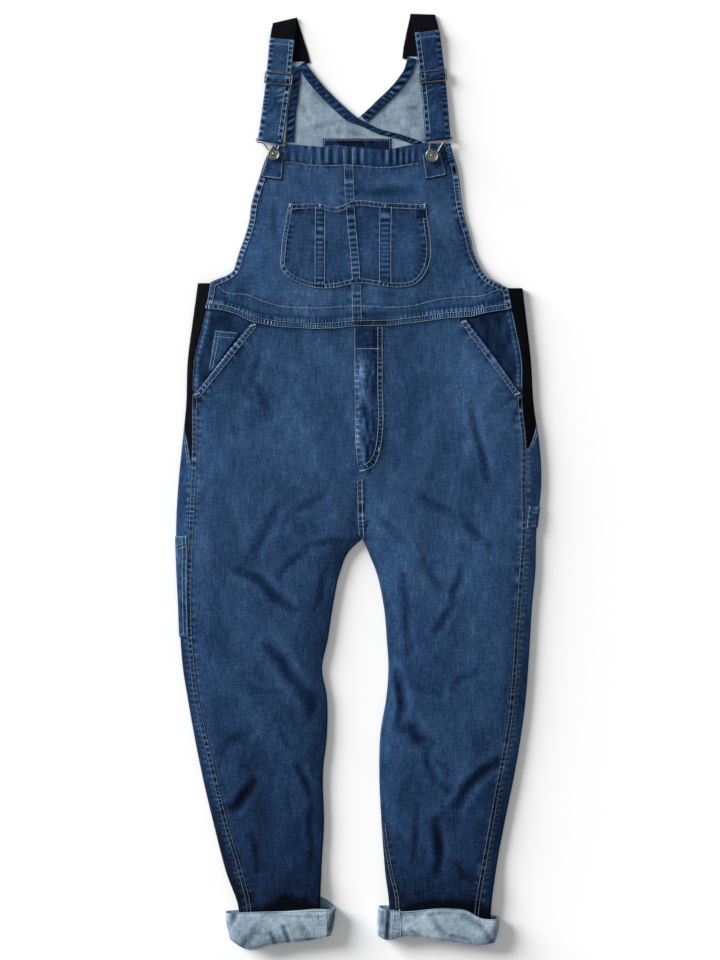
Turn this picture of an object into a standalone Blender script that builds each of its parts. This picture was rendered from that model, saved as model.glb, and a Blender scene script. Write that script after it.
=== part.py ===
# Denim bib overalls laid flat, face up, with the legs rolled into cuffs.
# Sizes here are in millimetres; meshes are made in metres.
# X runs across the garment, +Y to its shoulders and +Z up from the surface it lies on.
# Right and left are the wearer's, so the right side has negative X.

import math

import bmesh
import bpy
import numpy as np
from mathutils import Matrix, Vector

MM = 0.001

# Cloth thickness and the gaps that pieces keep
DENIM = 1.5
TRIM = 1.2
SEAM_GAP = 0.3
WAIST_GAP = 0.45
TAPER_GAP = 1.2
HALF_GAP = SEAM_GAP / 2
LAY_ON = 0.7
FOLD_LAY_ON = 0.6

# The flattened tube of a leg or the body: a half round at each fold, crowned between them
EDGE_RADIUS = 5.0
QUARTER = math.pi * EDGE_RADIUS / 2
RISE = 60.0
CROTCH_Y = -92.0
BACK_WAIST_Y = 275.0
POCKET_END_Y = 138.0
UNDER_FLAT = 30.0
EDGE_MASK = 16.0

# Outer fold and side seam of each side: height along the garment, x of the fold, x of the seam
OUTER_RIGHT = (
    (317, -256, -236), (258, -264, -248), (196, -272, -263), (120, -275, -265),
    (60, -281, -265), (0, -287, -267), (-84, -291, -271), (-145, -289, -273.5),
    (-196, -286.5, -274), (-254, -284, -272.5), (-300, -280, -268.5), (-344, -273, -263),
    (-401, -263, -251), (-467, -250, -235), (-548, -231, -215.5), (-622, -212, -193),
    (-690, -190, -178), (-738, -196, -184),
)
OUTER_LEFT = (
    (317, 263, 239), (258, 270, 251), (196, 277, 263), (120, 282, 264),
    (60, 291, 270), (0, 294, 269.5), (-84, 286, 270), (-145, 284.5, 266),
    (-196, 279.5, 262.5), (-254, 276, 258.5), (-300, 273, 255.5), (-344, 269.5, 252),
    (-401, 262.5, 245), (-467, 251.5, 233), (-548, 235, 218), (-622, 221.5, 205),
    (-690, 213, 194.5), (-738, 212, 194),
)

# Inner fold of each leg below the crotch
INNER_RIGHT = (
    (-92, 7.6), (-110, -12), (-145, -28), (-196, -39), (-254, -48), (-300, -57),
    (-344, -49.5), (-401, -49), (-467, -55.5), (-548, -54), (-622, -58), (-690, -59), (-738, -51),
)
INNER_LEFT = (
    (-92, 8.4), (-110, 15.5), (-145, 29.5), (-196, 41), (-254, 46.5), (-300, 49),
    (-344, 46), (-401, 36.5), (-467, 34.5), (-548, 38), (-622, 43.5), (-690, 50), (-738, 42),
)

# Centre seam of the bib and the fronts
CENTRE = ((540, -16), (440, -12), (330, -3), (247, -1), (100, 1), (0, 5), (-60, 6), (-92, 8))

# Crown along the garment: its height over the fold, how much of it the centre keeps, and
# how far the underside is raised where the leg runs into its cuff
CROWN = (
    (317, 5.5, 1, 0), (258, 6.5, 1, 0), (140, 8.5, 1, 0), (40, 9.5, 1, 0), (-30, 9.5, 0.75, 0),
    (-70, 9, 0.25, 0), (-92, 9, 0, 0), (-254, 10, 0, 0), (-450, 9, 0, 0), (-598, 8.5, 0, 0),
    (-625, 7, 0, 1.6), (-656, 4, 0, 5.4), (-690, 1.5, 0, 5.4), (-738, 2, 0, 5.4),
)

# Waist seam across the front, x and y
WAIST = (
    (-243, 275), (-217, 273), (-192, 265), (-170, 254), (-129, 246), (-71, 242.5), (-36, 243.5),
    (-9, 246.5), (4, 247), (55, 248), (95, 253), (146, 260), (181, 262), (208, 269), (248, 275),
)

# Slant pockets: the opening's upper and lower end
SLANT_RIGHT = ((-170, 254), (-262, POCKET_END_Y))
SLANT_LEFT = ((173, 260), (262, POCKET_END_Y))
FACING_DROP = 2.1
FACING_UNDERLAP = 9.0

# Side gores: girth from the outer fold to the gore's edge on the back, minus is underneath
GORE_BACK_RIGHT = ((317, -25), (138, -25), (120, -18), (98, -4), (92, 0), (66, 11), (29, 20.6))
GORE_BACK_LEFT = ((317, -20), (138, -20), (120, -12), (100, 0), (75, 10), (53, 20.8))
GORE_TIP_RIGHT = 29.0
GORE_TIP_LEFT = 53.0
GORE_TOP_RIGHT = 317.0
GORE_TOP_LEFT = 309.0

# Bib: side edges as height and x, the top edge as x and y, and the heights over the surface
BIB_SIDE_RIGHT = (
    (539, -134), (524, -143.6), (506, -151.6), (488, -157), (466, -164.4), (442, -170.8),
    (418, -174), (394, -181), (370, -190), (351, -195.6), (338, -200.4), (332, -207.6),
    (325, -222), (317, -236), (306, -238), (275, -244.4),
)
BIB_SIDE_LEFT = (
    (541, 148.4), (526, 152), (504, 158.8), (488, 161.8), (466, 164.4), (442, 167.6),
    (418, 173.2), (394, 180.4), (370, 186), (351, 194), (335, 202), (325, 210.8),
    (316, 227.6), (309, 240.4), (296, 243.2), (275, 247.4),
)
BIB_TOP = (
    (-134, 539), (-103.6, 539), (-56, 535), (-35, 539), (-19, 536), (45, 530), (82, 538),
    (108.6, 541), (148.4, 541),
)
BIB_CENTRE_Z = ((247, 17), (317, 15.5), (400, 11), (480, 8.5), (541, 8.5))
BIB_SIDE_Z = ((317, 12.9), (345, 5), (400, 3.6), (480, 4.5), (541, 6.5))
BIB_BLEND = (300.0, 350.0)

# Creases pressed into the fronts: x and y of both ends, half width and depth
CREASES = (
    (-130, -41, -172, -142, 18, 2.4), (-184, -142, -98, -206, 19, 4.6),
    (-28, -94, -82, -110, 17, 2.2), (-82, -110, -124, -153, 17, 2.0),
    (-146, -265, -82, -334, 19, 4.2), (-82, -334, -66, -366, 17, 3.2),
    (-220, -430, -162, -398, 18, 2.6), (-210, -531, -162, -483, 19, 4.4),
    (-98, -457, -72, -505, 17, 2.8), (-72, -505, -74, -627, 17, 2.6),
    (-168, -563, -156, -622, 17, 2.4), (-120, -400, -100, -430, 17, 1.8),
    (104, -30, 164, -57, 18, 2.4), (164, -57, 212, -105, 18, 2.2),
    (168, -137, 152, -201, 18, 2.8), (152, -201, 126, -238, 18, 2.6),
    (78, -153, 84, -275, 18, 2.2), (68, -313, 76, -393, 19, 5.0),
    (76, -393, 108, -412, 18, 4.2), (196, -302, 152, -329, 17, 2.2),
    (110, -435, 140, -475, 18, 3.2), (222, -446, 158, -515, 19, 4.6),
    (126, -542, 132, -627, 18, 4.2), (148, -606, 184, -638, 17, 2.4),
    (-152, 210, -164, 159, 18, 1.8), (-164, 159, -136, 102, 18, 1.8),
    (183, 122, 212, 2, 18, 1.8),
)

# Stations along the garment; pieces that meet at a seam share them
UPPER_ROWS = (0.0, 0.14, 0.30, 0.48, 0.66, 0.84)
HIP_ROWS = (138, 120, 98, 86, 75, 53, 29, 5, -25, -58, -86)
THIGH_ROWS = (-92, -104, -120)
LEG_ROWS_FROM = -142.0
LEG_ROWS_TO = -640.0
LEG_ROWS_COUNT = 20
HEM_ROWS = (-662, -684, -702, -719)
GORE_ROWS = (317, 306, 290, 275, 258, 227, 196, 170, 138, 120, 98, 86, 75, 53, 29)
BACK_TOP_ROWS = (275, 258, 227, 196, 170)


class Curve:
    """A smooth curve through a short table of keys and values, level beyond its ends."""

    def __init__(self, points):
        points = sorted(points)
        self.keys = [float(point[0]) for point in points]
        self.values = [float(point[1]) for point in points]
        self.slopes = [float(slope) for slope in np.gradient(self.values, self.keys)]

    def __call__(self, at):
        at = min(max(at, self.keys[0]), self.keys[-1])
        i = 0
        while i < len(self.keys) - 2 and at > self.keys[i + 1]:
            i += 1
        span = self.keys[i + 1] - self.keys[i]
        t = (at - self.keys[i]) / span
        start = (2 * t**3 - 3 * t**2 + 1) * self.values[i]
        start += (t**3 - 2 * t**2 + t) * span * self.slopes[i]
        end = (3 * t**2 - 2 * t**3) * self.values[i + 1]
        end += (t**3 - t**2) * span * self.slopes[i + 1]
        return start + end


def lerp(a, b, t):
    return a + (b - a) * t


def clamp(value):
    return min(max(value, 0.0), 1.0)


def ease(t):
    t = clamp(t)
    return t * t * (3 - 2 * t)


def rise(distance):
    """Share of the crown's height at a distance in from a fold."""
    return 1 - (1 - clamp(distance / RISE)) ** 2


def straight(points, at):
    """Straight-line reading of a table of keys and values."""
    keys = [point[0] for point in points]
    values = [point[1] for point in points]
    return float(np.interp(at, keys, values))


centre_x = Curve(CENTRE)
crown_height = Curve([(row[0], row[1]) for row in CROWN])
bib_centre_z = Curve(BIB_CENTRE_Z)
bib_side_z = Curve(BIB_SIDE_Z)


def falling(rows, column):
    """A column of a table whose heights fall, as points that rise."""
    return [(row[0], row[column]) for row in reversed(rows)]


def lift(y):
    return straight(falling(CROWN, 3), y)


def centre_share(y):
    return straight(falling(CROWN, 2), y)


class Side:
    """One side of the garment, with its own outline, seams and gore."""

    def __init__(self, name, sign, outer, inner, slant, gore_back, gore_tip, gore_top, bib_side):
        self.name = name
        self.sign = sign
        self.fold = Curve([(row[0], row[1]) for row in outer])
        self.seam = Curve([(row[0], row[2]) for row in outer])
        self.inner = Curve(inner)
        self.slant = slant
        self.gore_back = gore_back
        self.gore_tip = gore_tip
        self.gore_top = gore_top
        self.bib_side = bib_side

    def seam_girth(self, y):
        """Girth from the outer fold to the side seam on the top face."""
        return QUARTER + abs(self.seam(y) - self.fold(y)) - EDGE_RADIUS

    def back_girth(self, y):
        """Girth from the outer fold to the back panel's edge."""
        if y < self.gore_tip:
            return self.seam_girth(y) - HALF_GAP
        gap = TAPER_GAP if y < POCKET_END_Y else SEAM_GAP
        return min(straight(self.gore_back[::-1], y), self.seam_girth(y) - 1.0) - gap

    def round_outer(self, y, girth, depth):
        """Point at a girth from the outer fold, at a depth in from the outer face."""
        sign = self.sign
        centre = self.fold(y) - sign * EDGE_RADIUS
        if girth > QUARTER:
            x = centre - sign * (girth - QUARTER)
            return x, y, top(x, y) - depth
        if girth < -QUARTER:
            return centre + sign * (girth + QUARTER), y, lift(y) + depth
        angle = girth / EDGE_RADIUS
        radius = EDGE_RADIUS - depth
        x = centre + sign * radius * math.cos(angle)
        return x, y, lift(y) + EDGE_RADIUS + radius * math.sin(angle)

    def round_inner(self, y, girth, depth):
        """Point at a girth from the inner fold or centre seam; plus is on the top face."""
        sign = self.sign
        if y > CROTCH_Y:
            x = centre_x(y) + sign * max(abs(girth), HALF_GAP)
            if girth > 0:
                return x, y, top(x, y) - depth
            return x, y, lift(y) + depth
        centre = self.inner(y) + sign * EDGE_RADIUS
        angle = girth / EDGE_RADIUS
        radius = EDGE_RADIUS - depth
        x = centre - sign * radius * math.cos(angle)
        return x, y, lift(y) + EDGE_RADIUS + radius * math.sin(angle)


RIGHT = Side("right", -1, OUTER_RIGHT, INNER_RIGHT, SLANT_RIGHT, GORE_BACK_RIGHT,
             GORE_TIP_RIGHT, GORE_TOP_RIGHT, BIB_SIDE_RIGHT)
LEFT = Side("left", 1, OUTER_LEFT, INNER_LEFT, SLANT_LEFT, GORE_BACK_LEFT,
            GORE_TIP_LEFT, GORE_TOP_LEFT, BIB_SIDE_LEFT)
SIDES = (RIGHT, LEFT)


def crease(x, y):
    """How far the creases press the cloth down at a place, with a slight ridge beside them."""
    total = 0.0
    for x0, y0, x1, y1, width, depth in CREASES:
        run_x, run_y = x1 - x0, y1 - y0
        t = clamp(((x - x0) * run_x + (y - y0) * run_y) / (run_x**2 + run_y**2))
        square = ((x - x0 - t * run_x) ** 2 + (y - y0 - t * run_y) ** 2) / width**2
        total = min(total, -depth * math.exp(-square)) if square < 1.4 else total
        total += 0.35 * depth * square * math.exp(-square) if 1.4 <= square < 6 else 0.0
    return total


def body_top(x, y):
    """Height of the cloth's upper face over the legs, hips and waist."""
    side = RIGHT if x < centre_x(y) else LEFT
    if y <= CROTCH_Y:
        side = RIGHT if x < 0.5 * (RIGHT.inner(y) + LEFT.inner(y)) else LEFT
    sign = side.sign
    from_fold = sign * (side.fold(y) - x) - EDGE_RADIUS
    if y > CROTCH_Y:
        from_inner = sign * (x - centre_x(y))
        mask = ease(from_fold / EDGE_MASK)
    else:
        from_inner = sign * (x - side.inner(y)) - EDGE_RADIUS
        mask = ease(min(from_fold, from_inner) / EDGE_MASK)
    kept = 1 - (1 - centre_share(y)) * (1 - rise(from_inner))
    height = lift(y) + 2 * EDGE_RADIUS + crown_height(y) * rise(from_fold) * kept
    return height + crease(x, y) * mask


def bib_edge_x(side, y):
    return straight(falling(side.bib_side, 1), y)


def top(x, y):
    """Height of the upper face anywhere on the front, bib included."""
    if y < BIB_BLEND[0]:
        return body_top(x, y)
    side = RIGHT if x < centre_x(y) else LEFT
    inward = side.sign * (bib_edge_x(side, y) - x)
    edge = bib_side_z(y)
    bib = edge + (bib_centre_z(y) - edge) * rise(inward)
    if y > BIB_BLEND[1]:
        return bib
    share = ease((y - BIB_BLEND[0]) / (BIB_BLEND[1] - BIB_BLEND[0]))
    return lerp(body_top(x, y), bib, share)


def waist_y(x):
    return straight(WAIST, x)


MATERIALS = {
    "denim": ((0.036, 0.075, 0.155), 0.85, 0.0),
    "denim_dark": ((0.016, 0.030, 0.060), 0.85, 0.0),
    "denim_reverse": ((0.240, 0.310, 0.370), 0.9, 0.0),
    "elastic": ((0.006, 0.007, 0.012), 0.8, 0.0),
    "metal": ((0.150, 0.165, 0.160), 0.4, 1.0),
}


def material(name):
    found = bpy.data.materials.get(name)
    if found:
        return found
    colour, roughness, metallic = MATERIALS[name]
    made = bpy.data.materials.new(name)
    made.use_nodes = True
    shader = made.node_tree.nodes["Principled BSDF"]
    shader.inputs["Base Color"].default_value = (*colour, 1.0)
    shader.inputs["Roughness"].default_value = roughness
    shader.inputs["Metallic"].default_value = metallic
    return made


def add_piece(name, points, faces, finish):
    """One named object from points in millimetres, its faces turned outwards."""
    mesh = bpy.data.meshes.new(name)
    mesh.from_pydata([tuple(value * MM for value in point) for point in points], [], faces)
    work = bmesh.new()
    work.from_mesh(mesh)
    bmesh.ops.recalc_face_normals(work, faces=work.faces)
    work.to_mesh(mesh)
    work.free()
    mesh.materials.append(material(finish))
    mesh.shade_smooth()
    mesh.set_sharp_from_angle(angle=math.radians(40))
    piece = bpy.data.objects.new(name, mesh)
    bpy.context.scene.collection.objects.link(piece)
    return piece


def shell(name, outer, inner, finish):
    """A wall between two matching grids of points, closed round its rim."""
    rows, columns = len(outer), len(outer[0])
    points = [point for row in outer for point in row] + [point for row in inner for point in row]
    below = rows * columns

    def at(row, column):
        return row * columns + column

    faces = []
    for i in range(rows - 1):
        for j in range(columns - 1):
            quad = (at(i, j), at(i, j + 1), at(i + 1, j + 1), at(i + 1, j))
            faces.append(quad)
            faces.append(tuple(below + k for k in reversed(quad)))
    rim = [at(0, j) for j in range(columns)]
    rim += [at(i, columns - 1) for i in range(1, rows)]
    rim += [at(rows - 1, j) for j in range(columns - 2, -1, -1)]
    rim += [at(i, 0) for i in range(rows - 2, 0, -1)]
    for start, end in zip(rim, rim[1:] + rim[:1]):
        faces.append((start, below + start, below + end, end))
    return add_piece(name, points, faces, finish)


def tube(name, rings, finish, closed=False):
    """A solid swept through matching rings of points."""
    count = len(rings[0])
    points = [point for ring in rings for point in ring]
    faces = []
    last = len(rings) if closed else len(rings) - 1
    for i in range(last):
        here = i * count
        there = (i + 1) % len(rings) * count
        for j in range(count):
            k = (j + 1) % count
            faces.append((here + j, here + k, there + k, there + j))
    if not closed:
        faces.append(tuple(range(count)))
        faces.append(tuple(reversed(range(len(points) - count, len(points)))))
    return add_piece(name, points, faces, finish)


def wall(name, grid, place, thickness, finish, out=0.0):
    """A shell whose grid of stations is placed by a function of the station and the depth."""
    outer = [[place(*station, -out - (thickness if out else 0.0)) for station in row] for row in grid]
    inner = [[place(*station, -out if out else thickness) for station in row] for row in grid]
    return shell(name, outer, inner, finish)


def on_top(x, y, depth):
    return x, y, top(x, y) - depth


def leg_rows():
    long_rows = list(np.linspace(LEG_ROWS_FROM, LEG_ROWS_TO, LEG_ROWS_COUNT))
    return list(HIP_ROWS) + list(THIGH_ROWS) + long_rows + list(HEM_ROWS)


def front_leg(side):
    """Front panel from the waist seam down to the hem, round the inner fold to the inseam."""
    sign = side.sign
    girths = (QUARTER, 5.2, 2.6, HALF_GAP)
    spread = (0.0, 0.05, 0.11, 0.19, 0.27, 0.36, 0.46, 0.56, 0.66, 0.76, 0.86, 0.94)
    outer, inner = [], []
    (x_top, y_top), (x_low, y_low) = side.slant
    for share in UPPER_ROWS:
        start = lerp(x_top, x_low, share)
        y_centre = lerp(waist_y(centre_x(247)), y_low, share)
        end = centre_x(y_centre) + sign * QUARTER
        columns = [lerp(start, end, t) for t in spread]
        columns += [centre_x(y_centre) + sign * girth for girth in girths]
        row = []
        for x in columns:
            held = max(x, x_top) if sign < 0 else min(x, x_top)
            row.append((x, lerp(waist_y(held) - WAIST_GAP, y_low, share)))
        outer.append([on_top(x, y, 0.0) for x, y in row])
        inner.append([on_top(x, y, DENIM) for x, y in row])
    for y in leg_rows():
        start = side.seam_girth(y) + HALF_GAP
        first = side.round_outer(y, start, 0.0)[0]
        inner_tangent = side.round_inner(y, QUARTER, 0.0)[0]
        columns = [lerp(first, inner_tangent, t) for t in spread]
        for grid, depth in ((outer, 0.0), (inner, DENIM)):
            row = [on_top(x, y, depth) for x in columns]
            row += [side.round_inner(y, girth, depth) for girth in girths]
            grid.append(row)
    return shell("front_leg_" + side.name, outer, inner, "denim")


def back_leg(side):
    """Back panel, flat underneath, round both folds to the inseam and the side seam."""
    sign = side.sign
    inner_girths = (-HALF_GAP, -2.6, -5.2, -QUARTER)
    outer_shares = (0.0, 0.141, 0.284, 0.344, 0.403, 0.462, 0.522, 0.581, 1.0)
    outer, inner = [], []
    for y in list(BACK_TOP_ROWS) + leg_rows():
        edge = side.back_girth(y)
        girths = [lerp(edge, -UNDER_FLAT, share) for share in outer_shares]
        for grid, depth in ((outer, 0.0), (inner, DENIM)):
            row = [side.round_inner(y, girth, depth) for girth in inner_girths]
            last = side.round_outer(y, -UNDER_FLAT, 0.0)[0]
            row.append((lerp(row[-1][0], last, 0.5), y, lift(y) + depth))
            row += [side.round_outer(y, girth, depth) for girth in reversed(girths)]
            grid.append(row)
    return shell("back_leg_" + side.name, outer, inner, "denim")


def gore(side):
    """Elastic gore round the outer fold, from the bib's corner to its point below the hip."""
    shares = (0.0, 0.25, 0.36, 0.43, 0.5, 0.57, 0.64, 0.71, 1.0)
    rows = [y for y in GORE_ROWS if side.gore_tip <= y <= side.gore_top]
    if rows[0] < side.gore_top:
        rows.insert(0, side.gore_top)
    grid = []
    for y in rows:
        back = min(straight(side.gore_back[::-1], y), side.seam_girth(y) - 1.0)
        front = side.seam_girth(y) - HALF_GAP
        grid.append([(y, lerp(back, front, share)) for share in shares])
    return wall("gore_" + side.name, grid, side.round_outer, DENIM, "elastic")


def hip_facing(side):
    """Denim behind the slant pocket, under the front panel's edge."""
    sign = side.sign
    (x_top, y_top), (x_low, y_low) = side.slant
    rows = [y for y in GORE_ROWS if POCKET_END_Y <= y <= BACK_WAIST_Y]
    grid = []
    for y in rows:
        share = (BACK_WAIST_Y - y) / (BACK_WAIST_Y - POCKET_END_Y)
        start = side.seam(y) - sign * HALF_GAP
        end_x = lerp(x_top, x_low, share) - sign * FACING_UNDERLAP
        end_y = lerp(y_top, y_low, share)
        row = []
        for t in (0.0, 0.2, 0.4, 0.6, 0.8, 1.0):
            x = lerp(start, end_x, t)
            straight_y = lerp(y, end_y, t)
            bulge = (waist_y(x) - lerp(BACK_WAIST_Y, waist_y(end_x), t)) * (1 - share)
            row.append((x, straight_y + bulge * (1 - share) - SEAM_GAP * (1 - share)))
        grid.append(row)
    outer = [[on_top(x, y, FACING_DROP) for x, y in row] for row in grid]
    inner = [[on_top(x, y, FACING_DROP + DENIM) for x, y in row] for row in grid]
    return shell("hip_facing_" + side.name, outer, inner, "denim")


def bib_grid(side):
    """Stations of a bib half: from its side edge to the centre seam, top edge to waist seam."""
    sign = side.sign
    heights = [point[0] for point in side.bib_side]
    first, last = heights[0], heights[-1]
    top_centre = straight(BIB_TOP, centre_x(540))
    low_centre = waist_y(centre_x(247)) + WAIST_GAP
    grid = []
    for y_side, x_side in side.bib_side:
        share = (first - y_side) / (first - last)
        y_centre = lerp(top_centre, low_centre, share)
        x_centre = centre_x(y_centre) + sign * HALF_GAP
        x_edge = x_side
        if y_side <= side.gore_top:
            x_edge = side.seam(y_side) - sign * HALF_GAP
        row = []
        for t in (0.0, 0.09, 0.2, 0.33, 0.47, 0.61, 0.75, 0.88, 1.0):
            x = lerp(x_edge, x_centre, t)
            y = lerp(y_side, y_centre, t)
            top_bend = straight(BIB_TOP, x) - lerp(first, top_centre, t)
            low_bend = waist_y(x) + WAIST_GAP - lerp(last, low_centre, t)
            y += top_bend * (1 - share) ** 3 + low_bend * share**3
            row.append((x, y))
        grid.append(row)
    return grid


def bib(side):
    return wall("bib_" + side.name, bib_grid(side), on_top, DENIM, "denim")


# Fly: height, x of its left and right edge
FLY = (
    (240, -6, 39), (205, -6, 39), (170, -6, 39), (135, -5.5, 39), (100, -5, 39), (75, -4.5, 39),
    (58, -4, 37.5), (44, -3, 34), (24, -1, 24), (11, 1, 17.5), (0, 3, 13),
)


def fly():
    grid = [[(lerp(left, right, t), y) for t in (0.0, 0.25, 0.5, 0.75, 1.0)]
            for y, left, right in FLY]
    return wall("fly", grid, on_top, TRIM, "denim", out=LAY_ON)


# Bib pocket: x and y along its top edge and along its bottom edge
POCKET_TOP = ((-111, 444), (-62, 447), (-32, 440), (-19, 452), (40, 448), (110, 444))
POCKET_BOTTOM = (
    (-123, 341), (-113, 327), (-91, 315), (-66, 308), (-40, 308), (1, 316), (40, 311),
    (68, 309), (93, 315), (107, 329), (112, 339),
)


def bib_pocket():
    across = (0.0, 0.043, 0.09, 0.136, 0.24, 0.35, 0.44, 0.53, 0.69, 0.81, 0.92, 0.98, 1.0)
    grid = []
    for share in (0.0, 0.2, 0.4, 0.6, 0.8, 1.0):
        left = lerp(POCKET_TOP[0][0], POCKET_BOTTOM[0][0], share)
        right = lerp(POCKET_TOP[-1][0], POCKET_BOTTOM[-1][0], share)
        row = []
        for t in across:
            x = lerp(left, right, t)
            row.append((x, lerp(straight(POCKET_TOP, x), straight(POCKET_BOTTOM, x), share)))
        grid.append(row)
    return wall("bib_pocket", grid, on_top, TRIM, "denim", out=LAY_ON)


def patch_grid(corners, columns, rows):
    """Stations over a four-cornered piece, corners given round it from the upper left."""
    upper_left, upper_right, low_right, low_left = corners
    grid = []
    for i in range(rows):
        down = i / (rows - 1)
        start = [lerp(upper_left[k], low_left[k], down) for k in (0, 1)]
        end = [lerp(upper_right[k], low_right[k], down) for k in (0, 1)]
        grid.append([(lerp(start[0], end[0], j / (columns - 1)), lerp(start[1], end[1], j / (columns - 1)))
                     for j in range(columns)])
    return grid


TAB_RIGHT = ((-141, 530), (-117, 528), (-121, 481), (-157, 486))
TAB_LEFT = ((102, 524.5), (132.5, 530), (143, 489), (108.5, 482))
TAB_LAY_ON = 0.6
POCKET_TAB = ((93, 438), (109.4, 438), (108.6, 421), (93, 421))
COIN_POCKET = ((-228.5, 242), (-187.5, 238), (-233, 176), (-239, 174))


def small_pieces():
    wall("button_tab_right", patch_grid(TAB_RIGHT, 3, 4), on_top, TRIM, "denim", out=TAB_LAY_ON)
    wall("button_tab_left", patch_grid(TAB_LEFT, 3, 4), on_top, TRIM, "denim", out=TAB_LAY_ON)
    over_pocket = LAY_ON + TRIM + SEAM_GAP
    wall("pocket_tab", patch_grid(POCKET_TAB, 3, 3), on_top, TRIM, "denim_dark", out=over_pocket)
    lowered = FACING_DROP - 0.4
    grid = patch_grid(COIN_POCKET, 4, 5)
    outer = [[on_top(x, y, lowered - TRIM) for x, y in row] for row in grid]
    inner = [[on_top(x, y, lowered) for x, y in row] for row in grid]
    shell("coin_pocket", outer, inner, "denim")


# Tool pocket and hammer loop: heights, and girths from the outer fold at the two edges
TOOL_POCKET = ((-88, -3.9, 20), (-108, -3.9, 21), (-142, -3.9, 19), (-187, -3.9, 17),
               (-222, -3.9, 16.5), (-249, -3.9, 16))
HAMMER_LOOP = ((-41, -2.6, 19), (-58, -2.6, 19), (-74, -2.6, 19))


def side_pieces():
    """Pieces sewn over the outer fold, raised clear of it."""
    for name, side, rows in (("tool_pocket", RIGHT, TOOL_POCKET), ("hammer_loop", LEFT, HAMMER_LOOP)):
        grid = []
        for y, low, high in rows:
            arc = [lerp(low, QUARTER, t) for t in (0.0, 0.2, 0.4, 0.6, 0.8, 1.0)]
            grid.append([(y, girth) for girth in arc + [lerp(QUARTER, high, t) for t in (0.5, 1.0)]])
        wall(name, grid, side.round_outer, TRIM, "denim", out=FOLD_LAY_ON)


# Back of the bib above the waist: heights and the x of the right and left edge above the gores
BACK_BIB = ((317.3, -228, 229), (326, -205, 208), (345, -185, 190), (372, -172, 176),
            (400, -160, 165), (440, -140, 145), (488, -118, 122))
BACK_BIB_LOW = (275.3, 290.0, 306.0)


def flat_sheet(name, rows, low, high, columns, finish):
    """A flat piece between two edges given for each height."""
    levels = [low] * len(rows) if isinstance(low, (int, float)) else low
    shares = [j / (columns - 1) for j in range(columns)]
    inner = [[(lerp(left, right, t), y, level) for t in shares]
             for (y, left, right), level in zip(rows, levels)]
    outer = [[(x, y, z + high - levels[-1]) for x, y, z in row] for row in inner]
    return shell(name, outer, inner, finish)


def back_bib():
    rows = []
    for y in BACK_BIB_LOW:
        edges = [side.round_outer(y, straight(side.gore_back[::-1], y) - SEAM_GAP, 0.0)[0]
                 for side in SIDES]
        rows.append((y, *edges))
    flat_sheet("back_bib", rows + list(BACK_BIB), 0.0, DENIM, 5, "denim_reverse")


# Yokes: heights and the x of their two edges; the right one lies over the left
YOKE_RIGHT = (
    (672, -105, -85), (650, -105, -68.5), (629, -107, -51), (613, -109, -35), (598, -111.3, -19),
    (582, -113, 0), (574, -113.5, 15), (566, -114, 31.6), (555, -115, 71), (544, -115.6, 103),
    (530, -116, 103), (480, -118, 100),
)
YOKE_LEFT = (
    (680, 80.4, 101), (670, 77.4, 102.5), (659, 74, 104), (648, 66.5, 105), (637, 58, 106),
    (624, 45.5, 107.4),
    (611, 31.6, 108.6), (597, 17.5, 109.6), (584, 2.4, 110.4), (566, -30, 111), (553, -70, 111.5),
    (544, -100, 112), (488.3, -100, 113),
)
YOKE_RIGHT_Z = 1.8
YOKE_LEFT_RAISED = (1.7, 1.7, 0.9, 0.3, 0, 0, 0, 0, 0, 0, 0, 0, 0)
FACING_Z = YOKE_RIGHT_Z + DENIM + SEAM_GAP
NECK_WIDTH = 15.0
NECK_WIDTH_LOW = 8.0
ARM_WIDTH = 13.5


def strip_beside(edge, widths, turn):
    """A strip of stations along an edge, widened to one side of its run."""
    grid = []
    for i, (x, y) in enumerate(edge):
        before = edge[max(i - 1, 0)]
        after = edge[min(i + 1, len(edge) - 1)]
        run = Vector((after[0] - before[0], after[1] - before[1]))
        run.normalize()
        across = Vector((-run.y, run.x)) * turn
        grid.append([(x + across.x * d, y + across.y * d) for d in (0.0, widths[i] / 2, widths[i])])
    return grid


def flat_strip(name, grid, low, finish):
    lows = low if isinstance(low, (list, tuple)) else [low] * len(grid)
    inner = [[(x, y, z) for x, y in row] for row, z in zip(grid, lows)]
    outer = [[(x, y, z + TRIM) for x, y, z in row] for row in inner]
    return shell(name, outer, inner, finish)


def back_and_yokes():
    back_bib()
    flat_sheet("yoke_right", YOKE_RIGHT, YOKE_RIGHT_Z, YOKE_RIGHT_Z + DENIM, 5, "denim_reverse")
    flat_sheet("yoke_left", YOKE_LEFT, list(YOKE_LEFT_RAISED), DENIM, 5, "denim_reverse")
    neck = [(row[2], row[0]) for row in YOKE_RIGHT[:10]]
    widths = [NECK_WIDTH if y > 590 else NECK_WIDTH_LOW for x, y in neck]
    widths[5] = 11.0
    flat_strip("neck_facing_right", strip_beside(neck, widths, -1), FACING_Z, "denim_dark")
    neck = [(row[1], row[0]) for row in YOKE_LEFT[:8]]
    lows = [raised + DENIM + SEAM_GAP for raised in YOKE_LEFT_RAISED[:8]]
    flat_strip("neck_facing_left", strip_beside(neck, [NECK_WIDTH] * 8, 1), lows, "denim_dark")
    arm = [(row[1], row[0]) for row in YOKE_RIGHT[:10] if row[0] > 540]
    arm = [(x, y) for x, y in arm if y < 655]
    flat_strip("arm_facing_right", strip_beside(arm, [ARM_WIDTH] * len(arm), 1), FACING_Z,
               "denim_dark")
    patch = patch_grid(((-56, 549), (54, 549), (54, 511), (-56, 511)), 3, 2)
    flat_strip("back_patch", patch, FACING_Z, "denim_dark")


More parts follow.
